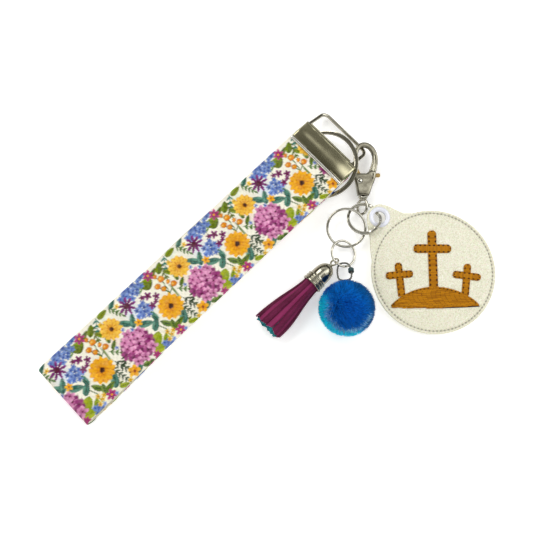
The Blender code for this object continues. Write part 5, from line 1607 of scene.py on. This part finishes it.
def strip_ob(k, total, layer, mats):
    """One suede strip from the cap to its slanted free end, lying in the flattened bundle."""
    rr = random.Random(100 + k * 7 + (0 if layer == "outer" else 1000))
    outer_ = layer == "outer"
    ang = 2 * math.pi * (k + 0.5) / total + (0.10 if outer_ else 0.3)
    x_in, x_out = 116.0, (84.75 if outer_ else 83.95)
    x_end = x_out + abs(rr.gauss(0, 0.45)) + (0.25 if outer_ else 0.1)
    w0, w1 = (0.86, 1.42) if outer_ else (0.7, 1.15)
    rin = 3.62 if outer_ else 1.9
    wide, high = (6.95, 3.70) if outer_ else (5.3, 2.2)
    sink = (0.42 if k % 2 else 0.0) if outer_ else (0.3 if k % 2 else 0.0)
    crown = 0.52 if outer_ else 0.2
    th_ = 0.24
    n = 40
    drift = rr.uniform(-0.07, 0.07)
    twist = rr.uniform(-0.22, 0.22)
    phase = rr.uniform(0, 6.28)
    slant = rr_sl[k % len(rr_sl)] * (1 if outer_ else -1)
    V_, tone = [], []
    base_tone = TONES[k % len(TONES)]
    cols = 9
    for i in range(n + 1):
        t = i / n
        x = x_in + (x_end - x_in) * t
        s = smooth((t - 0.08) / 0.85)
        a = ang + drift * s
        ry, rz = rin + (wide - rin) * s - sink * smooth(t / 0.25), rin + (high - rin) * s - sink * smooth(t / 0.25)
        zc = CAP_Z + ((4.55 if outer_ else 4.5) - CAP_Z) * s
        rip = 0.13 * math.sin(t * 8 + phase) * s
        cy_, cz_ = (ry + rip) * math.cos(a), (rz + rip * 0.6) * math.sin(a)
        ta = Vector((-ry * math.sin(a), rz * math.cos(a), 0)).normalized()
        na = Vector((ta.y, -ta.x, 0))
        tw = twist * math.sin(t * 5 + phase) * s
        tt = ta * math.cos(tw) + na * math.sin(tw)
        nn = Vector((tt.y, -tt.x, 0))
        hw = w0 + (w1 - w0) * s
        for side in (1, -1):
            rng_ = range(cols) if side == 1 else range(cols - 1, -1, -1)
            for c in rng_:
                u = -1 + 2 * c / (cols - 1)
                edge = 0.45 + 0.55 * math.sqrt(max(0.0, 1 - abs(u) ** 4))
                off = side * th_ * edge + crown * (0.35 - u * u) * (0.4 + 0.6 * s)
                y_ = cy_ + tt.x * hw * u + nn.x * off
                z_ = cz_ + tt.y * hw * u + nn.y * off
                xs = x + (slant * u * 0.6 * smooth((t - 0.90) / 0.10) if t > 0.90 else 0.0)
                V_.append(W(max(xs, 84.3 if outer_ else 83.85), TY + y_, max(zc + z_, 0.13)))
                # Tone drops to 0.35 at each strip's rim and 0.8 near it: painted shade between overlapping strips.
                tone.append(min(1.0, max(0.0, base_tone + 0.08 * math.sin(t * 13 + phase))) * (0.35 if abs(u) > 0.99 else (0.8 if abs(u) > 0.7 else 1.0)))
    kk = cols * 2
    F_, mi = [], []
    for i in range(n):
        for q in range(kk):
            r = (q + 1) % kk
            F_.append((i * kk + q, i * kk + r, (i + 1) * kk + r, (i + 1) * kk + q))
            mi.append(0)
    F_.append(tuple(range(kk))[::-1])
    F_.append(tuple(n * kk + q for q in range(kk)))
    mi += [1, 1]
    return V_, F_, tone, mi


rr_sl = [0.9, -0.6, 0.7, 1.1, -0.9, 0.5, 0.8, -1.0, 0.6]


def fringe_ob(name, total, layer, mats):
    VV_, FF, TT, MI = [], [], [], []
    for k in range(total):
        v_, f_, t_, m_ = strip_ob(k, total, layer, mats)
        o = len(VV_)
        VV_ += v_
        FF += [tuple(q + o for q in fc) for fc in f_]
        TT += t_
        MI += m_
    me = bpy.data.meshes.new(name)
    me.from_pydata([tuple(q) for q in VV_], [], FF)
    me.update()
    for m in mats:
        me.materials.append(m)
    me.polygons.foreach_set("material_index", np.array(MI, np.int32))
    ob = link(bpy.data.objects.new(name, me))
    outward(ob)
    me.shade_smooth()
    me.set_sharp_from_angle(angle=math.radians(45))
    point_value(ob, "tone", TT)
    return ob


done(fringe_ob("outer_strips", 14, "outer", (PLUM, CUT)), "tassel", "plum_suede", "tassel_fringe")
done(fringe_ob("inner_strips", 13, "inner", (TEAL, TEAL)), "tassel", "teal_suede", "tassel_fringe_inner")


# ------------------------------------------------------------------ pompom
PC, PR = Vector((114.7, -57.7, 13.05)), 12.9


def fur_ob(half):
    """Half of the short tapered hairs on a soft core, brushed from the side that faces up."""
    rng = np.random.RandomState(9)
    n = 12500
    i = np.arange(n) + 0.5
    phi = np.arccos(1 - 2 * i / n)
    lam = np.pi * (1 + 5 ** 0.5) * i
    N = np.stack([np.cos(lam) * np.sin(phi), np.sin(lam) * np.sin(phi), np.cos(phi)], 1)
    N += rng.randn(n, 3) * 0.02
    N /= np.linalg.norm(N, axis=1)[:, None]
    # fixed reference directions on the ball
    view = np.array(turn((0.0, -0.19, 0.98)))
    view /= np.linalg.norm(view)
    rt = np.array(turn((1.0, 0.0, 0.0)))
    upv = np.cross(view, rt)
    q = N @ view
    comb = N - view * 1.0
    tang = comb - N * np.sum(comb * N, 1)[:, None]
    tl = np.linalg.norm(tang, axis=1)[:, None] + 1e-6
    tang = tang / tl * np.clip(tl, 0, 1)
    clump = np.sin(N @ np.array([9.0, 4.0, 7.0]) * 1.7) * np.sin(N @ np.array([-5.0, 11.0, 3.0]) * 1.5) + np.sin(N @ np.array([3.0, -6.0, 12.0]) * 2.1) * 0.6
    swirl = np.cross(N, view)
    comb2 = (rt * 0.62 - upv * 0.30)[None, :] + swirl * (0.5 * np.sin(N @ np.array([4.0, -7.0, 5.0]) * 1.3))[:, None]
    comb2 = (comb2 - N * np.sum(comb2 * N, 1)[:, None]) * (np.clip(q, 0, 1) ** 1.5)[:, None]
    dirn = N * 0.42 + tang * (0.80 - 0.5 * np.clip(q, 0, 1) ** 2)[:, None] + comb2 + swirl * (0.30 * clump)[:, None] + rng.randn(n, 3) * 0.26
    dirn /= np.linalg.norm(dirn, axis=1)[:, None]
    root = N * 8.6
    full = 4.9 + 0.30 * clump + rng.uniform(-0.9, 0.35, n)
    # each hair bends outward then along its comb direction and ends inside the ball
    mid = root + (N * 0.75 + dirn * 0.25) * (full * 0.5)[:, None]
    tip = mid + dirn * (full * 0.62)[:, None]
    R1 = np.linalg.norm(tip, axis=1)
    lim = PR - 0.15 - rng.uniform(0, 0.5, n)
    tip *= (np.minimum(R1, lim) / R1)[:, None]
    mid_r = np.linalg.norm(mid, axis=1)
    mid *= (np.minimum(mid_r, lim - 0.6) / mid_r)[:, None]
    P = [root, (root + mid) / 2 + N * 0.15, mid, (mid + tip) / 2 + N * 0.12, tip]
    for k in range(len(P)):
        P[k] = P[k] + np.array(PC)
        P[k][:, 2] = np.maximum(P[k][:, 2], 0.16)
    side = np.cross(dirn, N)
    side /= np.linalg.norm(side, axis=1)[:, None] + 1e-9
    bi = np.cross(dirn, side)
    width = [0.23, 0.24, 0.20, 0.13, 0.0]
    K = 3
    V_, C_ = [], []
    # colour by place on the ball, with painted light and shade: a lit cyan crescent lower left, a shaded right rim and
    # a pale painted sheen arc
    horiz, vert = N @ rt, N @ upv
    rho = np.sqrt(np.clip(1 - np.clip(q, 0, 1) ** 2, 0, 1)) + np.where(q < 0, 0.2, 0.0)
    ang = np.degrees(np.arctan2(vert, horiz)) % 360
    deep = np.array([0.0005, 0.135, 0.60])
    mid_c = np.array([0.0005, 0.155, 0.56])
    shaded_rim_c = np.array([0.0010, 0.085, 0.26])
    lit_rim_cyan = np.array([0.004, 0.60, 1.0])
    sheen_grey = np.array([0.34, 0.66, 0.86])

    def window(a, lo_, hi_, soft):
        mid_a, half_a = (lo_ + hi_) / 2, (hi_ - lo_) / 2
        dlt = np.abs((a - mid_a + 180) % 360 - 180)
        return nsmooth((half_a + soft - dlt) / soft)

    wob = 0.03 * np.sin(np.radians(ang) * 7) + 0.02 * clump
    base = deep * (1 - nsmooth((rho - 0.25) / 0.5))[:, None] + mid_c * nsmooth((rho - 0.25) / 0.5)[:, None]
    rimz = nsmooth((rho + wob - 0.74) / 0.06)
    # Right rim darkened: painted shade.
    right_rim_shade = (window(ang, -40, 70, 25) * nsmooth((rho - 0.6) / 0.3))[:, None]
    base = base * (1 - 0.85 * right_rim_shade) + shaded_rim_c * 0.85 * right_rim_shade
    # Lower-left crescent turned bright cyan: painted light on the side facing the light.
    lit_rim_w = (window(ang, 165, 290, 22) * rimz)[:, None]
    base = base * (1 - lit_rim_w) + lit_rim_cyan * lit_rim_w
    # Pale arc near the rim: painted sheen.
    sheen_arc = (np.exp(-((rho + wob - 0.72) / 0.045) ** 2) * (0.50 * window(ang, 165, 262, 20) + 0.80 * window(ang, 262, 340, 18)))[:, None]
    sheen_arc = np.clip(sheen_arc, 0, 0.85)
    base = base * (1 - sheen_arc) + sheen_grey * sheen_arc
    tuft = np.exp(-((ang - 134) / 11.0) ** 2) * nsmooth((rho - 0.80) / 0.12) * (q > -0.1)
    base = base * (1 - tuft)[:, None] + np.array([0.0, 0.06, 0.34]) * tuft[:, None]
    jit = np.exp(rng.randn(n) * 0.22)[:, None]
    # Each hair runs from a darker root to a brighter tip: painted shade deep in the fur and painted light at the tips.
    for k in range(4):
        shade = [0.62, 0.85, 1.0, 1.12][k]
        shade = shade + (1.05 - shade) * lit_rim_w
        for a in range(K):
            an = 2 * math.pi * a / K
            V_.append(P[k] + side * (width[k] * math.cos(an)) + bi * (width[k] * math.sin(an)))
            C_.append(np.clip(base * jit * shade, 0, 1))
    V_.append(P[4])
    C_.append(np.clip(base * jit * 1.25, 0, 1))
    V_ = np.stack(V_, 1)
    C_ = np.stack(C_, 1)
    V_, C_ = V_[half::2], C_[half::2]
    n = len(V_)
    per = 4 * K + 1
    faces = []
    local = []
    for k in range(3):
        for a in range(K):
            b2 = (a + 1) % K
            local.append((k * K + a, k * K + b2, (k + 1) * K + b2, (k + 1) * K + a))
    quads = np.array(local)
    tip_t = np.array([(3 * K + a, 3 * K + (a + 1) % K, 4 * K) for a in range(K)])
    root_t = np.array([(K - 1 - a) for a in range(K)])[None, :]
    off = (np.arange(n) * per)
    Q_ = (quads[None] + off[:, None, None]).reshape(-1, 4)
    T_ = (np.vstack([tip_t, root_t])[None] + off[:, None, None]).reshape(-1, 3)
    co = V_.reshape(-1, 3)
    co = np.stack([(co[:, 0] - SHIFT_X) * MM, (co[:, 1] - SHIFT_Y) * MM, (co[:, 2] - DROP) * MM], 1)
    me = bpy.data.meshes.new("fur_hairs_%s" % "ab"[half])
    me.from_pydata(co.tolist(), [], Q_.tolist() + T_.tolist())
    me.update()
    me.materials.append(FUR)
    me.shade_smooth()
    ob = link(bpy.data.objects.new("fur_hairs_%s" % "ab"[half], me))
    outward(ob)
    point_color(ob, "fur", C_.reshape(-1, 3))
    return ob


for half in (0, 1):
    done(fur_ob(half), "pompom_ball", "fur", "pompom")
bm = bmesh.new()
bmesh.ops.create_icosphere(bm, subdivisions=5, radius=10.4 * MM)
bm.transform(Matrix.Translation(W(*PC)))
me = bpy.data.meshes.new("fur_core")
bm.to_mesh(me)
bm.free()
me.materials.append(FUR)
me.shade_smooth()
core = link(bpy.data.objects.new("fur_core", me))
# Core darker than any hair: painted shade showing between the hairs.
point_color(core, "fur", np.tile(np.array([0.0005, 0.05, 0.32]), (len(me.vertices), 1)))
done(core, "pompom_ball", "fur", "pompom")

# ------------------------------------------------------------------ pompom cord
hx, hy = RD_C[0] - 0.69 * RD_R, RD_C[1] - 0.724 * RD_R
hang = Vector((hx, hy, d_at(hx - RD_C[0], hy - RD_C[1]) + 0.4))
e1, e2 = Vector((-0.69, -0.724, 0.52)).normalized(), Vector((0.72, -0.69, 0.40)).normalized()
ctrl = [(-1.9, 0.0), (-1.5, 1.7), (0.0, 2.7), (3.0, 3.2), (6.2, 3.0), (7.5, 1.9), (7.9, 0.0), (7.5, -1.9), (6.2, -3.0), (3.0, -3.2), (0.0, -2.7), (-1.5, -1.7)]


def rope_ob(name, line, r, mat, strands=3, turns=9):
    """Closed cord laid from several strands."""
    n = len(line)
    nrm = e1.cross(e2).normalized()
    V_, F_ = [], []
    k = 8
    frames = []
    for i in range(n):
        t = (line[(i + 1) % n] - line[i - 1]).normalized()
        s_ = nrm.cross(t).normalized()
        frames.append((t, s_, t.cross(s_)))
    for st in range(strands):
        base_ = len(V_)
        for i in range(n):
            t, s_, u_ = frames[i]
            a = 2 * math.pi * (st / strands + turns * i / n)
            c = line[i] + (s_ * math.cos(a) + u_ * math.sin(a)) * r * 0.46
            for q in range(k):
                b_ = 2 * math.pi * q / k
                V_.append(c + (s_ * math.cos(b_) + u_ * math.sin(b_)) * r * 0.56)
        for i in range(n):
            j = (i + 1) % n
            for q in range(k):
                q2 = (q + 1) % k
                F_.append((base_ + i * k + q, base_ + i * k + q2, base_ + j * k + q2, base_ + j * k + q))
    return outward(mesh_piece(name, V_, F_, mat, 60))


line = []
for f_, w_ in spline(ctrl, 20, cyclic=True):
    p_ = hang + e1 * f_ + e2 * w_
    line.append(W(*p_))
done(rope_ob("twisted_cord", line, 0.45 * MM, CORD), "pompom_ball", "cord", "pompom_cord")
bead = hang + e1 * 2.6 + e2 * 3.14
prof = rounded([(0.78, 0.9), (0.9, 1.0), (1.15, 1.0), (1.35, 0.75), (1.28, 0.3), (1.35, 0.0), (1.28, -0.3), (1.35, -0.75), (1.15, -1.0), (0.9, -1.0), (0.78, -0.9)], 0.1)
done(lathe("cord_bead", prof, 40, CRIMP, Matrix.Translation(W(*bead)) @ e1.to_track_quat("Z", "Y").to_matrix().to_4x4()), "pompom_ball", "crimp", "cord_crimp")

# ------------------------------------------------------------------ world and lights
world = bpy.data.worlds.new("studio")
scene.world = world
world.use_nodes = True
b = Nodes(world.node_tree)
out = b.add("ShaderNodeOutputWorld")
bg = b.add("ShaderNodeBackground")
world.node_tree.links.new(bg.outputs[0], out.inputs["Surface"])
gen = b.add("ShaderNodeTexCoord").outputs["Generated"]
sep = b.add("ShaderNodeSeparateXYZ")
b.put(sep, "#0", gen)
sky = b.ramp(b.math("MULTIPLY_ADD", sep.outputs[2], 0.5, 0.5), [(0.0, (0.80, 0.80, 0.78)), (0.495, (0.70, 0.70, 0.68)), (0.51, (0.03, 0.028, 0.022)), (0.62, (0.07, 0.066, 0.05)), (0.70, (0.35, 0.35, 0.33)), (0.765, (2.3, 2.3, 2.25)), (0.84, (2.5, 2.5, 2.45)), (0.90, (0.62, 0.61, 0.55)), (0.95, (0.40, 0.39, 0.34)), (1.0, (0.30, 0.29, 0.235))])


def lobe(direction, wide, gain):
    """Soft bright patch of the studio about one direction (given in the view's axes)."""
    d = turn(direction).normalized()
    n = b.add("ShaderNodeVectorMath", {"operation": "DOT_PRODUCT"})
    b.put(n, "#0", gen)
    n.inputs[1].default_value = d
    r = b.add("ShaderNodeMapRange", {"interpolation_type": "SMOOTHSTEP"})
    b.put(r, "#0", n.outputs["Value"])
    r.inputs[1].default_value, r.inputs[2].default_value = math.cos(math.radians(wide)), 1.0
    r.inputs[3].default_value, r.inputs[4].default_value = 0.0, gain
    return r.outputs[0]


glow = b.math("ADD", lobe((0.27, 0.17, 0.95), 13, 5.0), b.math("ADD", lobe((-0.55, -0.50, 0.66), 30, 0.8), lobe((0.05, 0.385, 0.92), 5, 2.4)))
mixn = b.t.nodes.new("ShaderNodeVectorMath")
mixn.operation = "ADD"
b.put(mixn, "#0", sky)
comb = b.add("ShaderNodeCombineXYZ")
for k_ in range(3):
    b.put(comb, "#%d" % k_, glow)
b.put(mixn, "#1", comb)
b.put(bg, "Color", mixn.outputs[0])
bg.inputs["Strength"].default_value = 0.50


def area(name, at_, aim, size, power, color=(1, 1, 1)):
    d = bpy.data.lights.new(name, "AREA")
    d.shape = "RECTANGLE"
    d.size, d.size_y = size
    d.energy = power
    d.color = color
    ob = bpy.data.objects.new(name, d)
    scene.collection.objects.link(ob)
    loc, tgt = turn(at_), turn(aim)
    ob.location = loc
    ob.rotation_euler = (tgt - loc).to_track_quat("-Z", "Y").to_euler()
    return ob


area("key", (-0.45, 0.55, 0.70), (0, 0, 0), (0.45, 0.45), 2.9, (1.0, 0.985, 0.955))
area("fill", (0.60, 0.20, 0.60), (0, 0, 0), (0.40, 0.60), 1.9, (0.98, 0.99, 1.0))
area("front", (0.0, -0.75, 0.45), (0, 0, 0), (0.7, 0.3), 0.9)


def floor_material():
    m, b, p, tc = material("pale_floor")
    n = b.noise(tc, 3.0, 3.0, 0.6)
    b.put(p, "Base Color", b.mix(b.math("MULTIPLY", n, 0.3), (0.93, 0.93, 0.93), (0.97, 0.97, 0.97)))
    b.put(p, "Roughness", b.math("ADD", b.math("MULTIPLY", n, 0.1), 0.85))
    p.inputs["Emission Color"].default_value = (1, 1, 1, 1)
    p.inputs["Emission Strength"].default_value = 0.36
    return m


bm = bmesh.new()
bmesh.ops.create_grid(bm, x_segments=4, y_segments=4, size=3.0)
me = bpy.data.meshes.new("floor")
bm.to_mesh(me)
bm.free()
me.materials.append(floor_material())
floor = link(bpy.data.objects.new("floor", me))
floor.location = (0, 0, -0.00002)
